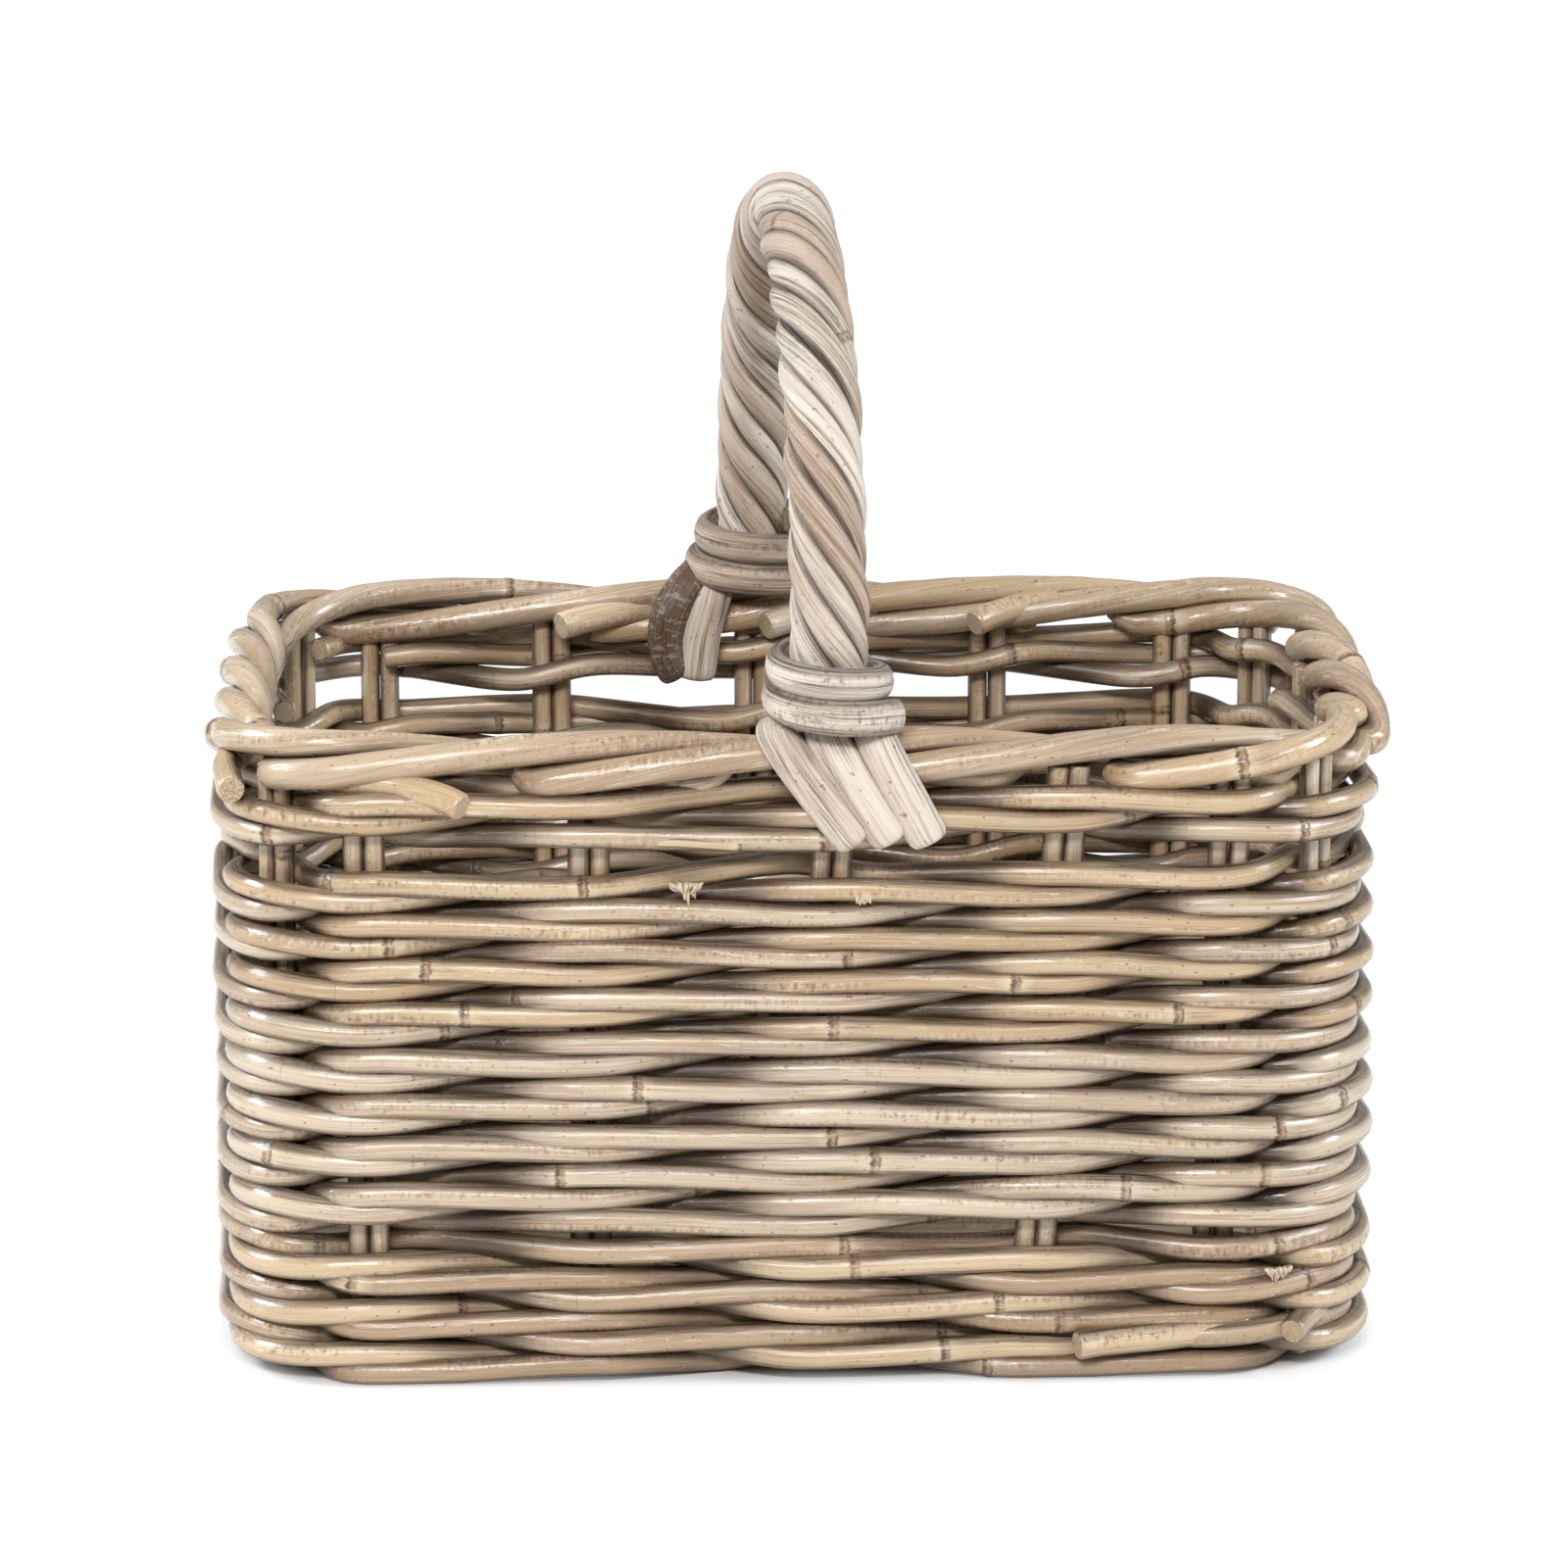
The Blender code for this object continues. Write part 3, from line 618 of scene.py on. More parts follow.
# Roughness of each mark, and its height in the bump
ROUGH = {"polish": 0.22, "scuff": 0.30, "weather": 0.15, "cut": 0.50, "most": 0.95}
HEIGHTS = {
    "hair": 0.7, "streak": 0.5, "fissure": -0.5, "ring": -0.3, "scar": 0.15, "pore": -0.5,
    "patch": -0.3, "craze": 0.15,
}
BUMP_DEPTH = 0.0006

# A skin's light and dark colours, then each finish's share of each mark
FINISH_COLOURS = {
    "cane_skin": ("light", "dark"),
    "handle_skin": ("handle_light", "handle_dark"),
    "collar_skin": ("handle_light", "handle_dark"),
    "dark_bark": ("bark", "ring"),
}
FINISH_SHARES = {
    "gloss": (0.08, 0.34, 0.36, 0.40),
    "shine": (0.75, 0.50, 0.50, 0.50),
    "fibre": (0.10, 0.90, 1.00, 1.50),
    "grey": (0.60, 0.15, 0.25, 0.45),
    "ring": (0.95, 0.60, 0.90, 0.90),
    "grime_and_shade": (1.00, 0.92, 0.85, 0.50),
    "fissures": (0.45, 1.00, 1.00, 1.00),
    "craze": (0.60, 0.10, 0.60, 1.00),
    "crazed": (0.50, 0.60, 0.46, 0.20),
    "hue": (1.00, 0.15, 0.15, 0.00),
    "brown": (0.38, 0.90, 0.85, 0.90),
    "dirt_and_shade": (0.55, 0.85, 0.85, 0.00),
}


class Skin:
    """Colour of a cane's skin, made of coats laid one over the other."""

    def __init__(self, kit, name):
        column = list(FINISH_COLOURS).index(name)
        self.kit = kit
        self.share = {mark: row[column] for mark, row in FINISH_SHARES.items()}
        self.colours = bpy.context.scene.basket_finish
        self.grain = kit.attribute("grain", "Vector")
        self.low, self.high = (getattr(self.colours, key) for key in FINISH_COLOURS[name])
        self.base = None

    def noise(self, name):
        """Noise stretched along the cane."""
        along, around, detail, roughness = NOISES[name][:4]
        inputs = {0: self.grain, 1: (along, around, around)}
        stretched = self.kit.add("ShaderNodeVectorMath", {"operation": "MULTIPLY"}, inputs)
        inputs = {"Vector": stretched, "Scale": 1.0, "Detail": detail, "Roughness": roughness}
        return self.kit.add("ShaderNodeTexNoise", {"noise_dimensions": "3D"}, inputs)

    def stray(self, name, reach):
        """Noise about zero, by up to half its reach."""
        return (self.noise(name) - 0.5) * reach

    def marks(self, name):
        """Marks where a noise is high."""
        return self.noise(name).between(*NOISES[name][4:])

    def coat(self, colour, cover):
        """Lays a colour over those so far, as strongly as it covers."""
        self.base = mix(self.kit, self.base, getattr(self.colours, colour), cover)


def band(value, middle, full, gone):
    """1 where a value is near the middle, 0 where it is far from it."""
    return 1 - (value - middle).size().between(full, gone)


def worn(marks, least, rest):
    """The least share, and the rest of it where the marks are."""
    return least + marks * rest


def cane_finish(name):
    """Procedural skin of a cane: grain, weathering, node rings, specks, scuffs and pale cut ends."""
    if name in bpy.data.materials:
        return bpy.data.materials[name]
    material = bpy.data.materials.new(name)
    material.use_nodes = True
    tree = material.node_tree
    kit = NodeKit(tree)
    skin = Skin(kit, name)
    share = skin.share
    surface = tree.nodes["Principled BSDF"]
    surface.inputs["Specular IOR Level"].default_value = share["shine"]
    gap, tint, cut, crevice, shade = map(kit.attribute, ("gap", "tint", "cut", "crevice", "shade"))

    # Grain and hue
    streak, fine, hair = map(skin.noise, ("streak", "fine", "hair"))
    tone = skin.noise("broad") * TONE["broad"] + streak * TONE["streak"] + fine * TONE["fine"]
    tone = tone + tint * TONE["tint"] - TONE["shift"]
    skin.base = mix(kit, skin.low, skin.high, tone.between(*TONE_LIMITS))
    skin.coat("brown", hair.between(*HAIR_BROWN) * COVERS["hair_brown"])
    skin.coat("scuff", (1 - hair).between(*HAIR_SCUFF) * COVERS["hair_scuff"])
    hue = (tint * HUES).maths("FRACT")
    skin.coat("gold", hue.between(*GOLD_HUES) * COVERS["gold"] * share["hue"])
    skin.coat("russet", (RUSSET_HUE - hue).between(0.0, RUSSET_EASE) * COVERS["russet"] * share["hue"])

    # Fissures, weathering, patches and crazing
    fissure = band(skin.noise("fissure"), *FISSURE_BAND) * skin.marks("fissured")
    skin.coat("stain", fissure * share["fissures"])
    weather = skin.noise("weather")
    skin.coat("grey", weather.between(*WEATHER_GREY) * share["grey"])
    patch = skin.marks("patch")
    skin.coat("brown", patch * share["brown"])
    craze = skin.noise("craze")
    crazed = skin.noise("crazed").between(share["crazed"], share["crazed"] + CRAZED_EASE)
    skin.coat("scuff", craze.between(*CRAZE_SCUFF) * crazed * COVERS["craze_scuff"])
    skin.coat("stain", (1 - craze).between(*CRAZE_STAIN) * crazed * share["craze"])

    # Halo and stains beside the node rings, specks and scuffs
    edge = gap + skin.stray("halo_edge", HALO_JAG)
    skin.coat("pale", band(edge, *BANDS["halo"]) * skin.marks("halo") * COVERS["halo"])
    stain = band(edge, *BANDS["ring_stain"]) * skin.marks("ring_stain") * COVERS["ring_stain"]
    skin.coat("stain", stain.maths("MAXIMUM", skin.marks("long_stain") * COVERS["long_stain"]))
    skin.coat("ring", skin.marks("speck") * COVERS["speck"])
    scuff = skin.marks("scuff")
    skin.coat("scuff", (scuff * COVERS["scuff"]).maths("MAXIMUM", skin.marks("scrape") * COVERS["scrape"]))

    # Node rings: a scar between two dark lines
    edge = gap + skin.stray("ring_edge", RING_JAG)
    wear = skin.marks("worn_ring")
    scar = band(edge, *BANDS["scar"])
    skin.coat("brown", scar * worn(wear, *WORN_SCAR) * share["ring"])
    near_line = band(edge, *BANDS["near_line"]) * worn(wear, *WORN_LINE)
    far_line = band(edge, *BANDS["far_line"]) * skin.marks("far_line") * COVERS["far_line"]
    ring = near_line.maths("MAXIMUM", far_line)
    skin.coat("ring", ring * share["ring"])

    # Painted shade under the next cane, painted shade and dirt in the crevices, and the pith of the cut ends
    # Painted shade where a weaver goes in under the next one
    painted_shade = shade * PAINTED_SHADE_REACH + skin.stray("painted_shade", PAINTED_SHADE_STRAY)
    skin.coat("painted_shade", painted_shade.between(*PAINTED_SHADE_LIMITS) * COVERS["painted_shade"])
    # Painted shade in the crevices where canes touch, partly brown dirt
    skin.coat("grime_and_shade", crevice * worn(skin.marks("grime_and_shade"), *WORN_GRIME_AND_SHADE) * share["grime_and_shade"])
    # Dark flecks in the crevices: dirt, and painted shade
    skin.coat("ring", skin.marks("dirt_and_shade") * crevice.between(*DIRT_AND_SHADE_CREVICE) * share["dirt_and_shade"])
    pores = skin.marks("pore")
    pith = mix(kit, skin.colours.pith, skin.colours.stain, pores * COVERS["pore"])
    base = mix(kit, skin.base, pith, cut)

    rough = share["gloss"] + skin.marks("polish") * ROUGH["polish"] + scuff * ROUGH["scuff"]
    rough = rough + weather.between(*WEATHER_ROUGH) * ROUGH["weather"] + cut * ROUGH["cut"]
    rough = rough.maths("MINIMUM", ROUGH["most"])
    height = fine + hair * HEIGHTS["hair"] + streak * HEIGHTS["streak"] + fissure * HEIGHTS["fissure"]
    height = height * share["fibre"] + ring * HEIGHTS["ring"] + scar * HEIGHTS["scar"]
    height = height + pores * cut * HEIGHTS["pore"] + patch * share["fibre"] * HEIGHTS["patch"]
    height = height + craze * crazed * share["craze"] * HEIGHTS["craze"]
    bump = kit.add("ShaderNodeBump", None, {"Strength": 1.0, "Distance": BUMP_DEPTH, "Height": height})
    for name, value in (("Base Color", base), ("Roughness", rough), ("Normal", bump)):
        tree.links.new(value.socket, surface.inputs[name])
    return material


# Weaving
def along(heading):
    return Vector((math.cos(heading), math.sin(heading), 0))


def outward_of(heading):
    return Vector((math.sin(heading), -math.cos(heading), 0))


def on_stake_line(place):
    """Point on the stake line in plan and the heading there, for a length along it."""
    left = (place + arc_length / 2) % loop_length
    for side, run in enumerate(side_runs):
        # The last side also takes what rounding leaves over
        if left <= arc_length + run or side == len(side_runs) - 1:
            break
        left -= arc_length + run
    heading = (side - 1) * math.pi / 2 + min(left, arc_length) / CORNER_RADIUS
    point = corner_centres[side] + outward_of(heading) * CORNER_RADIUS
    return point + along(heading) * min(max(left - arc_length, 0), run), heading


def on_wall(place, depth, height):
    """Point outside the stake line by a depth, at a height, and the way out of the wall there."""
    point, heading = on_stake_line(place)
    way = outward_of(heading)
    return point + way * depth + UP * height, way


def stake_places(front_shares):
    places = []
    for side, shares in enumerate((front_shares, SIDE_SHARES, BACK_SHARES, SIDE_SHARES)):
        middle = run_middles[side]
        places += [corner_places[side]] + [middle + side_runs[side] * share for share in shares]
    return places


foot_places = stake_places(FRONT_FOOT_SHARES)
top_places = stake_places(FRONT_TOP_SHARES)
stakes = len(foot_places)


def stake_place(index, height):
    turn, stake = divmod(index, stakes)
    share = height / stake_top
    return turn * loop_length + foot_places[stake] * (1 - share) + top_places[stake] * share


def climb(place, turn):
    """Share of a round that the weave has stepped up by, on the left wall."""
    start = foot_places[stakes - 2] - STAKE_HOLD
    end = foot_places[stakes - 1] + STAKE_HOLD
    return min(1, max(0, (place - turn * loop_length - start) / (end - start)))


# Number of weavers that run together, and the overlay of one of them in front of its second stake
# pair as a share of that in front of its first
WEAVERS = 3
SECOND_OUT_OVERLAY = -0.3


def weaver_keys(first, last, behind, rising, level, limits, extra_turn=0, extra=0):
    """Keys (place, depth, height) of a weaver from the stake pair first to last.

    It passes behind every third pair, and rises or falls as it comes out in front of the next one.
    The extra height is added over the round before extra_turn.
    """
    weave_depth = bpy.context.scene.basket_canes.depth
    overlay = bpy.context.scene.basket_canes.overlay
    sign = -1 if rising else 1
    order = -sign * (-behind % WEAVERS)
    keys = []

    def key(place, depth, share):
        turn = math.floor((place + arc_length / 2) / loop_length)
        rise = climb(place, turn)
        height = level + pitch * (turn + rise + order / WEAVERS + sign * share)
        height += extra * min(1, max(0, turn + rise - (extra_turn - 1)))
        keys.append((place, depth, min(limits[1], max(limits[0], height))))

    for index in range(first, last + 1):
        guess = level + pitch * (index // stakes)
        place = stake_place(index, min(stake_top, guess))
        phase = (index - behind) % WEAVERS
        if phase:
            share = FIRST_OUT_SHARE if phase == 1 else -FIRST_OUT_SHARE
            depth = weave_depth + overlay * (1 if phase == 1 else SECOND_OUT_OVERLAY)
            key(place - STAKE_HOLD, depth, share)
            key(place + STAKE_HOLD, depth, share)
            continue
        for way, goes_on in ((-1, index > first), (1, index < last)):
            if goes_on:
                key(place + way * STAKE_HOLD, -weave_depth, -way * BEHIND_SHARE)
            else:
                key(place - way * BUTT_GAP / 2, -weave_depth, 0)
    return keys


def soften(values, spread_steps):
    """Values with their corners rounded, held at both ends."""
    reach = max(1, int(3 * spread_steps))
    weights = np.exp(-0.5 * (np.arange(-reach, reach + 1) / spread_steps) ** 2)
    held = np.pad(values, reach, mode="edge")
    return np.convolve(held, weights / weights.sum(), mode="valid")


def rounded(keys, ease, step):
    """Evenly stepped line through keys with its corners rounded. Its first three numbers are lengths."""
    keys = np.array([tuple(key) for key in keys])
    steps = np.linalg.norm(np.diff(keys[:, :3], axis=0), axis=1)
    run = np.concatenate([[0], np.cumsum(steps)])
    at = np.arange(0, run[-1], step)
    return np.stack([soften(np.interp(at, run, column), ease / step) for column in keys.T], 1)


WANDER_LENGTHS = (0.37, 0.19, 0.11)
KINK_LENGTHS = (0.12, 0.26)
WANDER_EASE = 3


def wander(run, size, dice):
    """Slow stray of a cane from its line, with kinks where it grew crooked."""
    total = np.zeros(len(run))
    for wave in WANDER_LENGTHS:
        total += np.sin(2 * math.pi * run / wave + dice.uniform(0, 2 * math.pi)) / len(WANDER_LENGTHS)
    most_kinks = int((run[-1] - run[0]) / KINK_LENGTHS[0]) + 2
    knots = run[0] + np.cumsum(dice.uniform(*KINK_LENGTHS, most_kinks))
    total += np.interp(run, knots, dice.uniform(-1, 1, len(knots)))
    return soften(total, WANDER_EASE) * size / 2


def wall_line(stations, depths, heights, dice, girth=1.0, shade=0.0):
    """Cane line from places along the wall, depths outside the stake line and heights."""
    return CaneLine(map(on_wall, stations, depths, heights), dice, girth, shade)


# A weaver's shade is deepest at this depth, where it goes in under the next one
SHADE_DEPTH = 0.0010
SHADE_WIDTH = 0.0060
SHADE_SINKING = 0.5
WEAVER_GIRTHS = (0.88, 1.06)


def weaver_line(keys, dice):
    places, depths, heights = np.array(keys).T
    stray = bpy.context.scene.basket_canes.wander
    stations = np.arange(places[0], places[-1], SWEEP_STEP)
    depth = soften(np.interp(stations, places, depths), BEND_EASE / SWEEP_STEP)
    height = soften(np.interp(stations, places, heights), STEP_EASE / SWEEP_STEP)
    depth += wander(stations, stray / 2, dice)
    height += wander(stations, stray, dice)
    height = np.maximum(height, low_limit + FOOT_LIFT)
    # Painted shade: full where a weaver comes out from under the next one, weaker where it sinks
    emerging = (np.gradient(depth) > 0) * (1 - SHADE_SINKING) + SHADE_SINKING
    emerging = soften(emerging, BEND_EASE / SWEEP_STEP)
    shade = np.exp(-(((depth - SHADE_DEPTH) / SHADE_WIDTH) ** 2)) * emerging
    return wall_line(stations, depth, height, dice, dice.uniform(*WEAVER_GIRTHS), shade)


# Ends of canes that poke out: diameter, then points as place from the front's middle, depth, height
STUBS = {
    "border_rod_06": (
        0.0102,
        (0.482, 0, 0.22), (0.498, -0.006, 0.2195),
        (0.509, -0.0115, 0.2175), (0.516, -0.0165, 0.215),
    ),
    "border_rod_07": (
        0.0105,
        (0.55, 0, 0.22), (0.573, -0.0075, 0.2185),
        (0.587, -0.012, 0.216), (0.594, -0.0165, 0.2145),
    ),
    "border_rod_08": (
        0.0105,
        (0.626, 0, 0.22), (0.648, -0.0075, 0.219),
        (0.663, -0.012, 0.2165), (0.67, -0.0165, 0.215),
    ),
    "border_rod_11": (
        0.0098,
        (-0.238, 0.001, 0.213), (-0.205, 0.006, 0.2125),
        (-0.19, 0.012, 0.211), (-0.182, 0.0185, 0.2095),
    ),
    "border_rod_12": (
        0.0096,
        (-0.162, 0, 0.214), (-0.135, 0.0065, 0.2125),
        (-0.12, 0.012, 0.2095), (-0.1125, 0.017, 0.2065),
    ),
    "weaver_high_a": (0.0036, (-0.06, 0.0085, 0.1925), (-0.042, 0.012, 0.1935), (-0.018, 0.011, 0.1915)),
    "weaver_foot_c": (
        0.0104,
        (0.156, 0.005, 0.0175), (0.125, 0.0105, 0.0155),
        (0.105, 0.0135, 0.0147), (0.0945, 0.017, 0.0142),
    ),
    "weaver_foot_b": (
        0.0092,
        (0.196, 0.002, 0.025), (0.18, 0.006, 0.021),
        (0.169, 0.011, 0.0185), (0.164, 0.018, 0.017),
    ),
}
STUB_EASE = 0.003

# Torn fibres: place from the front's middle, depth, height, length
FRAYS = {
    "weaver_high_a": (-0.0380, 0.0115, 0.1790, 0.0085),
    "weaver_high_b": (0.0225, 0.0115, 0.1755, 0.0060),
    "weaver_foot_a": (0.1620, 0.0120, 0.0395, 0.0060),
    "weaver_high_c": (0.2760, 0.0120, 0.2010, 0.0080),
    "border_rod_06": (0.2700, 0.0130, 0.2260, 0.0080),
}
FRAY_FIBRES = 30
FRAY_STEPS = 8
FRAY_WIDTHS = (0.0008, 0.0030)
FRAY_TINT = 0.1

# A fibre's root, stray and drop, at least and at most, its curl and its depths, as shares of the length
FRAY_SHAPE = ((-0.75, -0.2, 0.3), (0.75, 0.2, 0.95))
FRAY_CURL = 0.12
FRAY_DEPTHS = (-0.1, 0.25)
FRAY_GATHERING = 0.6
FRAY_SHORTENING = 0.75
FRAY_TAPER = (0.25, 0.97)


def fibre_line(place, depth, height, length, diameter, dice):
    """Line of one fibre of a torn tuft, which hangs from its root."""
    root, stray, drop = dice.uniform(*FRAY_SHAPE)
    drop *= 1 - abs(root) * FRAY_SHORTENING
    share = np.linspace(0, 1, FRAY_STEPS)
    curl = np.sin(share * math.pi / 2) * dice.uniform(-FRAY_CURL, FRAY_CURL)
    places = run_middles[0] + place + (root + (stray - root * FRAY_GATHERING) * share + curl) * length
    depths = depth + dice.uniform(*FRAY_DEPTHS) * share * length
    heights = height + (curl - drop * share) * length
    thick = dice.uniform(*FRAY_WIDTHS)
    line = wall_line(places, depths, heights, dice, thick / diameter)
    line.girth *= np.sin(np.linspace(*FRAY_TAPER, len(line.girth)) * math.pi)
    line.tint[:] = FRAY_TINT
    return line


def extras_of(name, diameter):
    """Lines of the short end and of the torn fibres that poke out beside a piece's own canes."""
    lines = []
    dice = dice_for(name + "_stub")
    if name in STUBS:
        thick, *keys = STUBS[name]
        places, depths, heights = rounded(keys, STUB_EASE, CUT_EASE * 2).T
        line = wall_line(places + run_middles[0], depths, heights, dice, thick / diameter)
        line.outward *= math.copysign(1, depths[-1])
        lines.append(line)
    if name in FRAYS:
        lines += [fibre_line(*FRAYS[name], diameter, dice) for _ in range(FRAY_FIBRES)]
    return lines


class BASKET_OT_weave_wall(bpy.types.Operator):
    """Weaves the canes round the stakes: each passes outside two pairs and inside the third"""

    bl_idname = "basket.weave_wall"
    bl_label = "Weave wall"

    def execute(self, context):
        rod = context.scene.basket_canes.rod
        skin = cane_finish("cane_skin")
        top_turn = wall_rounds - 1
        last_left = stakes - 2
        swell = (rod - ROD_DIAMETER) / 2
        foot_limits = (low_limit + swell, foot_top)
        wall_limits = (wall_foot, high_limit + TOP_LIFT)
        for letter, behind in (("a", 0), ("b", 2), ("c", 1)):
            first = -(-behind % WEAVERS)
            last = last_left - (last_left - behind) % WEAVERS
            splice = LOW_CANE_ROUNDS * stakes + behind
            foot_last = (FOOT_ROUNDS - 1) * stakes + last
            wall_last = top_turn * stakes + last
            in_wall = (behind, False, wall_level, wall_limits, top_turn, TOP_GAP + TOP_LIFT)
            spans = {
                "foot": (first, foot_last, behind, True, foot_level, foot_limits),
                "low": (first, splice, *in_wall),
                "high": (splice, wall_last, *in_wall),
            }
            for band, span in spans.items():
                name = f"weaver_{band}_{letter}"
                dice = dice_for(name)
                lines = [weaver_line(weaver_keys(*span), dice)] + extras_of(name, rod)
                sweep(name, lines, rod, skin, "wall_cane", stacked=1.0)
        return {"FINISHED"}


STAKE_NAMES = [
    f"stake_pair_{name}"
    for name in (
        ["corner_front_left"]
        + [f"front_{place + 1}" for place in range(len(FRONT_TOP_SHARES))]
        + ["corner_front_right", "right_1", "right_2", "corner_back_right"]
        + [f"back_{place + 1}" for place in range(len(BACK_SHARES))]
        + ["corner_back_left", "left_1", "left_2"]
    )
]
STAKE_GIRTHS = (0.94, 1.03)


class BASKET_OT_set_stakes(bpy.types.Operator):
    """Sets the pairs of upright canes that the wall is woven on"""

    bl_idname = "basket.set_stakes"
    bl_label = "Set stakes"

    def execute(self, context):
        canes = context.scene.basket_canes
        skin = cane_finish("cane_skin")
        half_gap = stake_radius - STAKE_PRESS / 2
        for stake, name in enumerate(STAKE_NAMES):
            dice = dice_for(name)
            lines = []
            for side in (-1, 1):
                top = stake_top + STAKE_REACH - end_flare(top_places[stake]) / 2
                heights = np.arange(FOOT_TRIM, top, SWEEP_STEP)
                pairs = []
                for height, stray in zip(heights, wander(heights, canes.wander / 2, dice)):
                    point, heading = on_stake_line(stake_place(stake, height))
                    way = outward_of(heading)
                    shift = along(heading) * side * half_gap
                    pairs.append((point + shift + way * stray + UP * height, way))
                lines.append(CaneLine(pairs, dice, dice.uniform(*STAKE_GIRTHS)))
            sweep(name, lines, canes.stake, skin, "stake_cane", stacked=1.0)
        return {"FINISHED"}


def border_stations():
    places = []
    for corner, run, steps in zip(corner_places, side_runs, (FRONT_STATIONS, SIDE_STATIONS) * 2):
        start = corner - arc_length / 2
        places += [start + arc_length * step / CORNER_STATIONS for step in range(CORNER_STATIONS)]
        places += [start + arc_length + run * step / steps for step in range(steps)]
    return places


def end_flare(place):
    """How far the border leans out over the wall at a place: most in the middle of each end."""
    for middle, run, flare in zip(run_middles, side_runs, END_FLARES):
        away = (place - middle + loop_length / 2) % loop_length - loop_length / 2
        reach = run / 2 + arc_length
        if abs(away) < reach:
            return flare * math.sqrt(math.cos(away / reach * math.pi / 2))
    return 0


BORDER_FINENESS = 7
BORDER_STRAY = 0.75
BORDER_SWAY = 0.18
BORDER_GIRTHS = (0.93, 1.04)
# Border rods take tints from this share up, which makes them darker: painted shade on the rim, whose top
# gets more of the key lamp's light
BORDER_SHADE_TINT = 0.35
BORDER_EASE = 0.0018
BORDER_REACH = BORDER_SPAN + 1
BORDER_TAPER = ((0, 0.010), (0.45, 1))

# A border rod's tip, tucked up into the roll: (place, depth, height) from its end
BORDER_SINK = ((0.0060, 0.0006, 0.0018), (0.0120, 0.0010, 0.0050))

# A border rod's start, turned in under the roll: (place, depth, height) from where it comes out
BORDER_RISE = ((-0.0062, -0.0078, 0.0016), (-0.0052, -0.0045, 0.0000), (-0.0030, -0.0015, -0.0006))


class BASKET_OT_roll_border(bpy.types.Operator):
    """Rolls the border's rods: each comes out under the rim, rises over it and goes down inside"""

    bl_idname = "basket.roll_border"
    bl_label = "Roll border"

    def execute(self, context):
        canes = context.scene.basket_canes
        skin = cane_finish("cane_skin")
        stations = border_stations()
        laps = np.array(stations + [place + loop_length for place in stations])
        lines = {}
        for rod, node in enumerate(BORDER_NODES):
            name = f"border_rod_{node:02d}"
            dice = dice_for(f"{name}_{rod}")
            first = rod * STATIONS_PER_ROD + BORDER_SHIFT
            steps = np.linspace(0, BORDER_REACH, BORDER_REACH * BORDER_FINENESS + 1)
            places = np.interp(first + steps, np.arange(len(laps)), laps)
            places = soften(places, BORDER_FINENESS / 2)
            ring = border_ring + wander(places, canes.wander * BORDER_STRAY, dice)
            angles = BORDER_START + border_step * steps + wander(places, BORDER_SWAY, dice)
            depths = ring * np.cos(angles) + [end_flare(place) for place in places]
            heights = border_axis + ring * np.sin(angles)
            keys = np.stack([places, depths, heights, angles], 1)
            start = keys[0] + np.pad(BORDER_RISE, ((0, 0), (0, 1)))
            tip = keys[-1] + np.pad(BORDER_SINK, ((0, 0), (0, 1)))
            pairs = []
            for *spot, angle in rounded(np.concatenate([start, keys, tip]), BORDER_EASE, SWEEP_STEP / 2):
                point, way = on_wall(*spot)
                pairs.append((point, way * math.cos(angle) + UP * math.sin(angle)))
            line = CaneLine(pairs, dice, dice.uniform(*BORDER_GIRTHS))
            # Darker tints on the border rods: painted shade on the rim
            line.tint = BORDER_SHADE_TINT + (1 - BORDER_SHADE_TINT) * line.tint
            line.girth *= np.interp(line.run[-1] - line.run, *BORDER_TAPER)
            lines.setdefault(name, []).append(line)
        for name, rods in lines.items():
            sweep(name, rods + extras_of(name, canes.border), canes.border, skin, "border_cane")
        return {"FINISHED"}


# Handle
def on_bow(length):
    """Point on the handle's middle line and the direction out of the bow there."""
    if length < leg_length:
        return front_foot + UP * length, -bow_way
    if length > bow_length - leg_length:
        return back_foot + UP * (bow_length - length), bow_way
    angle = (length - leg_length) / bow_radius
    out = -bow_way * math.cos(angle) + UP * math.sin(angle)
    centre = (front_foot + back_foot) / 2 + UP * leg_length
    return centre + out * bow_radius, out


STRAND_THINNESS = 0.85
STRAND_GIRTHS = (1.10, 0.90, 1.04, 0.86, 1.08, 0.95)
STRAND_SWAY = 0.10
STRAND_TRIM = 0.0040
STRAND_CONTACT = 0.26
CORE_STEP = 0.006

# How many times as far apart as in the wall the node rings are in the handle and in its ties
HANDLE_GROWTH = 3
TAIL_GROWTH = 2


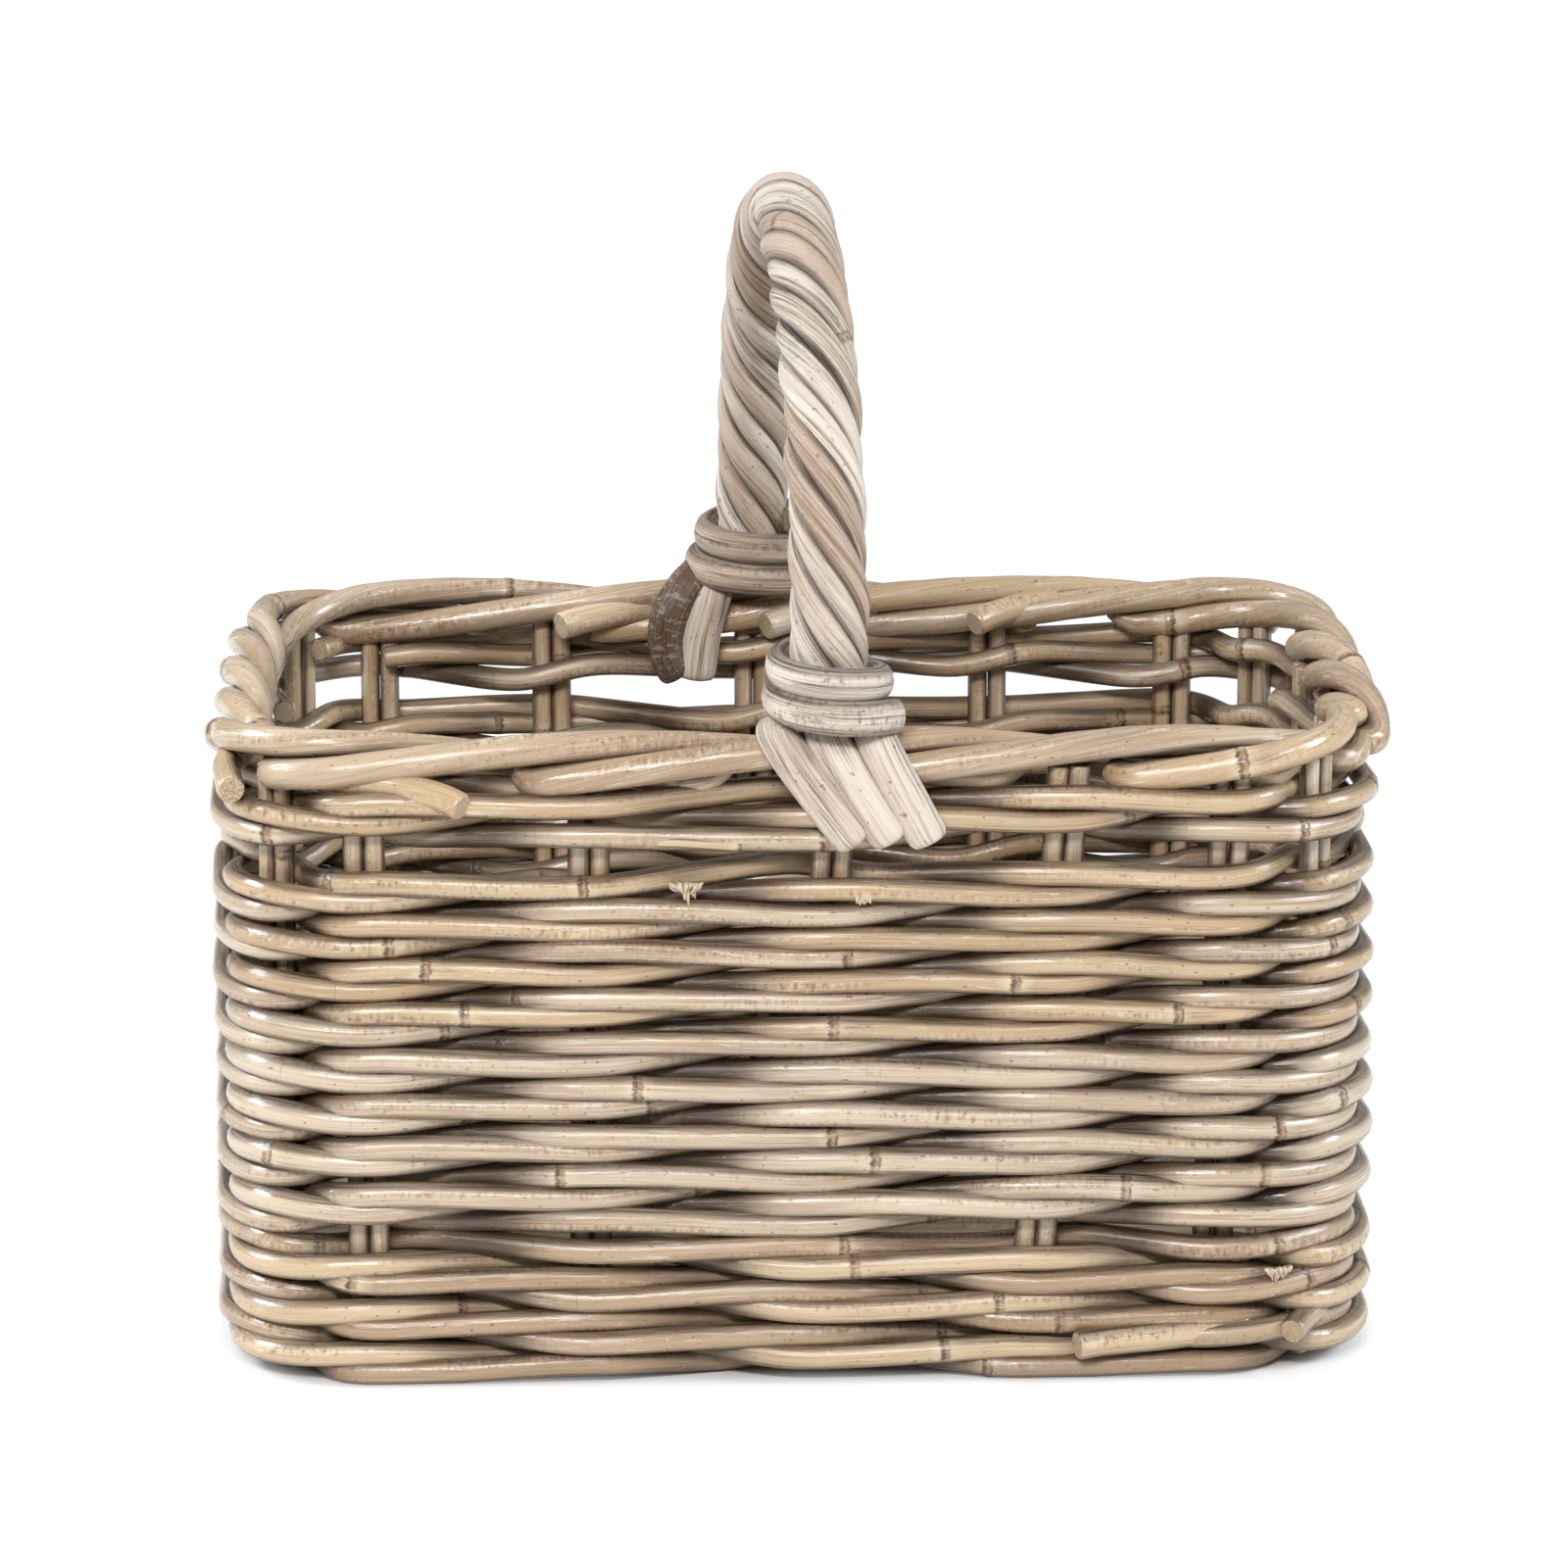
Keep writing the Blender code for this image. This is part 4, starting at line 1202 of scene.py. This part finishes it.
class BASKET_OT_lay_handle(bpy.types.Operator):
    """Lays the handle's canes round its bow"""

    bl_idname = "basket.lay_handle"
    bl_label = "Lay handle"

    def execute(self, context):
        canes = context.scene.basket_canes
        skin = cane_finish("handle_skin")
        lengths = np.arange(STRAND_TRIM, bow_length - STRAND_TRIM, SWEEP_STEP)
        lay_steps = math.ceil(bow_length / LAY_LENGTH * STEPS_PER_LAY)
        turns = (lengths / bow_length) * lay_steps / STEPS_PER_LAY
        for strand in range(STRANDS):
            name = f"handle_strand_{strand + 1}"
            dice = dice_for(name)
            stray = wander(lengths, canes.wander / 2, dice)
            sway = wander(lengths, STRAND_SWAY, dice)
            pairs = []
            for length, turn, lift, swing in zip(lengths, turns, stray, sway):
                centre, out = on_bow(length)
                angle = 2 * math.pi * (strand / STRANDS - turn) + swing
                way = out * math.cos(angle) + bow_side * math.sin(angle)
                pairs.append((centre + way * (rope_ring + lift), way))
            line = CaneLine(pairs, dice, STRAND_GIRTHS[strand])
            shape = {"thinness": STRAND_THINNESS, "growth": HANDLE_GROWTH, "contact": STRAND_CONTACT}
            sweep(name, [line], canes.strand, skin, "handle_cane", **shape)
        core = [(on_bow(length)[0], bow_side) for length in np.arange(0, bow_length, CORE_STEP)]
        line = CaneLine(core, dice_for("handle_core"))
        sweep("handle_core", [line], core_radius * 2, skin, "handle_cane")
        return {"FINISHED"}


COLLAR_STEPS = 48
COLLAR_THINNESS = 0.70
COLLAR_STACKED = 0.8
COLLAR_RINGS = ((0.1, 0.0215), (0.35, 0.0190), (1.7, 0.0172))

# Collars: foot of the handle, angle where the turns are counted from, first turn and straight lead
COLLARS = {
    "handle_collar_front": (front_foot, 0, 0.12, 0.010),
    "handle_collar_back": (back_foot, math.pi + 0.5, -0.34, 0),
}


class BASKET_OT_wind_collars(bpy.types.Operator):
    """Winds a cane round each foot of the handle"""

    bl_idname = "basket.wind_collars"
    bl_label = "Wind collars"

    def execute(self, context):
        canes = context.scene.basket_canes
        skin = cane_finish("collar_skin")
        rise = COLLAR_DIAMETER + 2 * SEAT_GAP
        for name, (foot, start, first, lead) in COLLARS.items():
            turns = np.arange(first, COLLAR_TURNS, 1 / COLLAR_STEPS)
            pairs = []
            for turn, ring in zip(turns, np.interp(turns, *np.array(COLLAR_RINGS).T)):
                way = along(start - 2 * math.pi * turn)
                pairs.append((foot + way * ring + UP * (COLLAR_DIAMETER / 2 + rise * turn), way))
            if lead:
                point, way = pairs[0]
                pairs.insert(0, (point + (point - pairs[1][0]).normalized() * lead, way))
            line = CaneLine(pairs, dice_for(name))
            shape = {"thinness": COLLAR_THINNESS, "growth": HANDLE_GROWTH, "stacked": COLLAR_STACKED}
            sweep(name, [line], canes.collar, skin, "handle_cane", **shape)
        return {"FINISHED"}


TAIL_STEP = 0.0015
TAIL_EASE = 0.004
TAIL_THINNESS = 0.47
TAIL_LEAD = 0.0090
TAIL_TAPER = 0.55
TAIL_ROUND = 0.0040
TAIL_CONTACT = -0.2

# Straps inside the back wall as (x, inwards from the stakes' line, height)
BACK_STRAPS = {
    "handle_strap_back_dark": (
        (-0.0250, 0.0020, 0.2370),
        (-0.0330, 0.0120, 0.2310),
        (-0.0405, 0.0152, 0.2200),
        (-0.0420, 0.0150, 0.2080),
        (-0.0390, 0.0146, 0.1995),
        (-0.0345, 0.0142, 0.1930),
    ),
    "handle_strap_back_pale": (
        (-0.0210, 0.0050, 0.2360),
        (-0.0235, 0.0135, 0.2280),
        (-0.0285, 0.0150, 0.2120),
        (-0.0305, 0.0147, 0.1925),
    ),
}


class BASKET_OT_tie_handle(bpy.types.Operator):
    """Ties the handle's feet to the rim with flat canes"""

    bl_idname = "basket.tie_handle"
    bl_label = "Tie handle"

    def execute(self, context):
        canes = context.scene.basket_canes
        hug = border_ring + border_radius + TAIL_THICKNESS / 2
        drape = [(hug * math.cos(a), border_axis + hug * math.sin(a)) for a in TAIL_ANGLES]
        drape += [(hug, stake_top - rod_radius), (hug, WALL_HEIGHT - TAIL_DROP)]
        paths = {}
        for place, (start_x, lean) in enumerate(zip(FRONT_TAIL_START_X, FRONT_TAIL_LEANS)):
            path = [(start_x + TAIL_LEAD, -half_depth, border_axis + hug)]
            for out, height in drape:
                share = (WALL_HEIGHT - height) / TAIL_DROP
                path.append((start_x + lean * share, -half_depth - out, height))
            paths[f"handle_tail_front_{place + 1}"] = path
        for name, path in BACK_STRAPS.items():
            paths[name] = [(x, half_depth - out, height) for x, out, height in path]
        for name, path in paths.items():
            finish = "dark_bark" if "dark" in name else "handle_skin"
            points = rounded(path, TAIL_EASE, TAIL_STEP)
            ways = np.cross(np.gradient(points, axis=0), np.array([1.0, 0, 0]))
            line = CaneLine(zip(points, ways), dice_for(name))
            left = (line.run[-1] - line.run) / TAIL_ROUND
            line.girth *= TAIL_TAPER + (1 - TAIL_TAPER) * np.sqrt(1 - (1 - np.clip(left, 0, 1)) ** 2)
            slot = "dark_strap" if finish == "dark_bark" else "handle_cane"
            shape = {"thinness": TAIL_THINNESS, "growth": TAIL_GROWTH, "contact": TAIL_CONTACT}
            sweep(name, [line], canes.tail, cane_finish(finish), slot, **shape)
        return {"FINISHED"}


BASE_STICK_STEPS = 30
MAT_STEPS = 90
MAT_GIRTHS = (0.96, 1.02)


class BASKET_OT_lay_base(bpy.types.Operator):
    """Lays the base: sticks from front to back and a mat of canes across them"""

    bl_idname = "basket.lay_base"
    bl_label = "Lay base"

    def execute(self, context):
        canes = context.scene.basket_canes
        skin = cane_finish("cane_skin")
        reach = wall_reach + SEAT_GAP + WEAVE_SLACK
        sticks = len(BACK_SHARES)
        for place in range(sticks):
            name = f"base_stick_{place + 1}"
            front, _ = on_stake_line(foot_places[FRONT_FIRST + place])
            back, _ = on_stake_line(foot_places[BACK_FIRST + sticks - 1 - place])
            front += Vector((0, reach, BASE_RISE))
            back += Vector((0, -reach, BASE_RISE))
            pairs = [(front.lerp(back, share), UP) for share in np.linspace(0, 1, BASE_STICK_STEPS)]
            line = CaneLine(pairs, dice_for(name))
            sweep(name, [line], BASE_STICK_DIAMETER, skin, "base_cane")
        edge_x = half_width - wall_reach - BASE_EDGE_GAP
        edge_y = half_depth - wall_reach - BASE_EDGE_GAP
        corner = CORNER_RADIUS - wall_reach - BASE_EDGE_GAP
        level = BASE_RISE + BASE_STICK_DIAMETER / 2 + SEAT_GAP + MAT_CANE_DIAMETER / 2
        dice = dice_for("base_mat")
        count = math.ceil(2 * edge_y / canes.base)
        lines = []
        for place in range(count):
            across = -edge_y + canes.base / 2 + (2 * edge_y - canes.base) * place / (count - 1)
            into = max(0, abs(across) + canes.base / 2 - (edge_y - corner))
            reach_x = edge_x - corner + math.sqrt(max(0, corner**2 - into**2))
            stations = np.linspace(-reach_x, reach_x, MAT_STEPS)
            lift = wander(stations, canes.wander / 3, dice)
            pairs = [(Vector((x, across, level + rise)), UP) for x, rise in zip(stations, lift)]
            lines.append(CaneLine(pairs, dice, dice.uniform(*MAT_GIRTHS)))
        sweep("base_mat", lines, canes.base, skin, "base_cane", contact=0)
        return {"FINISHED"}


# How far from the basket the floor's own light starts and is full, near it and further off
FLOOR_NEAR = (-0.004, 0.022)
FLOOR_FAR = (0.05, 0.45)

# Lamps as place and size, each with its power in the stage's property of that name
LAMPS = {
    "key": ((-0.5, -2.25, 1.75), (1.3, 0.4)),
    "right": ((2.1, -0.5, 1.5), (0.9, 0.6)),
    "left": ((-2.1, 0.2, 1.6), (0.9, 0.6)),
    "back": ((0.3, 1.8, 2.2), (1.2, 0.6)),
}
SIDE_LAMPS = ("right", "left")
LAMP_TARGET = Vector((0, 0, 0.15))
WHITE = (1, 1, 1, 1)
CLIP_START = 0.05
CLIP_END = 100
ROOM_SHINE = 0.08


class BASKET_OT_set_stage(bpy.types.Operator):
    """Sets the floor, the lamps, the room's light and the camera"""

    bl_idname = "basket.set_stage"
    bl_label = "Set stage"

    def execute(self, context):
        stage = context.scene.basket_stage
        side = stage.floor_size / 2
        corners = [(x * side, y * side, 0) for x, y in ((-1, -1), (1, -1), (1, 1), (-1, 1))]
        data = bpy.data.meshes.new("floor")
        data.from_pydata(corners, [], [(0, 1, 2, 3)])
        data.materials.append(self.floor_finish(stage))
        linked("floor", data)
        for name, (place, size) in LAMPS.items():
            data = bpy.data.lights.new(f"{name}_lamp", "AREA")
            data.shape = "RECTANGLE"
            data.size, data.size_y = size
            data.energy = getattr(stage, name)
            if name in SIDE_LAMPS:
                data.color = stage.daylight
            lamp = linked(data.name, data)
            lamp.location = place
            lamp.rotation_euler = (LAMP_TARGET - Vector(place)).to_track_quat("-Z", "Y").to_euler()
            lamp.visible_glossy = name != "back"
        self.room_light(context, stage)
        camera = bpy.data.cameras.new("camera")
        camera.lens = stage.lens
        camera.clip_start = CLIP_START
        camera.clip_end = CLIP_END
        view = linked("camera", camera)
        view.location = stage.camera_place
        view.rotation_euler = (math.pi / 2 - stage.camera_tilt, 0, -stage.camera_turn)
        context.scene.camera = view
        context.scene.view_settings.view_transform = "Standard"
        return {"FINISHED"}

    def floor_finish(self, stage):
        material = bpy.data.materials.new("floor")
        material.use_nodes = True
        tree = material.node_tree
        tree.nodes.clear()
        kit = NodeKit(tree)
        dull = kit.add("ShaderNodeBsdfDiffuse", None, {"Color": (*stage.floor, 1)})
        white = kit.add("ShaderNodeEmission", None, {"Color": WHITE, "Strength": stage.floor_white})
        place = kit.add("ShaderNodeTexCoord", None, None, "Object")
        away_x, away_y = (
            (kit.add("ShaderNodeSeparateXYZ", None, {0: place}, axis).size() - half).maths("MAXIMUM", 0)
            for axis, half in (("X", half_width - CORNER_RADIUS), ("Y", half_depth - CORNER_RADIUS))
        )
        away = (away_x * away_x + away_y * away_y).maths("SQRT") - CORNER_RADIUS
        near = away.between(*FLOOR_NEAR) * stage.floor_glow
        far = away.between(*FLOOR_FAR) * (1 - stage.floor_glow)
        seen = kit.add("ShaderNodeLightPath", None, None, "Is Camera Ray") * (near + far)
        blend = kit.add("ShaderNodeMixShader", None, {0: seen, 1: dull, 2: white})
        kit.add("ShaderNodeOutputMaterial", None, {"Surface": blend})
        return material

    def room_light(self, context, stage):
        world = bpy.data.worlds.new("room")
        world.use_nodes = True
        context.scene.world = world
        tree = world.node_tree
        tree.nodes.clear()
        kit = NodeKit(tree)
        seen, shine = (
            kit.add("ShaderNodeLightPath", None, None, ray) for ray in ("Is Camera Ray", "Is Glossy Ray")
        )
        plain = seen.maths("MAXIMUM", shine * ROOM_SHINE)
        strength = stage.sky + plain * (1 - stage.sky)
        light = kit.add("ShaderNodeBackground", None, {"Color": WHITE, "Strength": strength})
        kit.add("ShaderNodeOutputWorld", None, {"Surface": light})


class BASKET_PT_panel(bpy.types.Panel):
    """Lists the steps that build the basket"""

    bl_label = "Cane Basket"
    bl_idname = "BASKET_PT_panel"
    bl_space_type = "VIEW_3D"
    bl_region_type = "UI"
    bl_category = "Basket"

    def draw(self, context):
        for operator in OPERATORS:
            self.layout.operator(operator.bl_idname)


OPERATORS = (
    BASKET_OT_set_stakes,
    BASKET_OT_weave_wall,
    BASKET_OT_roll_border,
    BASKET_OT_lay_handle,
    BASKET_OT_wind_collars,
    BASKET_OT_tie_handle,
    BASKET_OT_lay_base,
    BASKET_OT_set_stage,
)
GROUPS = {
    "basket_canes": BasketCanes,
    "basket_finish": BasketFinish,
    "basket_stage": BasketStage,
}
CLASSES = (*GROUPS.values(), *OPERATORS, BASKET_PT_panel)


def register():
    for made in CLASSES:
        bpy.utils.register_class(made)
    for name, group in GROUPS.items():
        setattr(bpy.types.Scene, name, bpy.props.PointerProperty(type=group))


def unregister():
    for name in GROUPS:
        delattr(bpy.types.Scene, name)
    for made in reversed(CLASSES):
        bpy.utils.unregister_class(made)


def main():
    register()
    for operator in OPERATORS:
        family, name = operator.bl_idname.split(".")
        getattr(getattr(bpy.ops, family), name)()


if __name__ == "__main__":
    main()
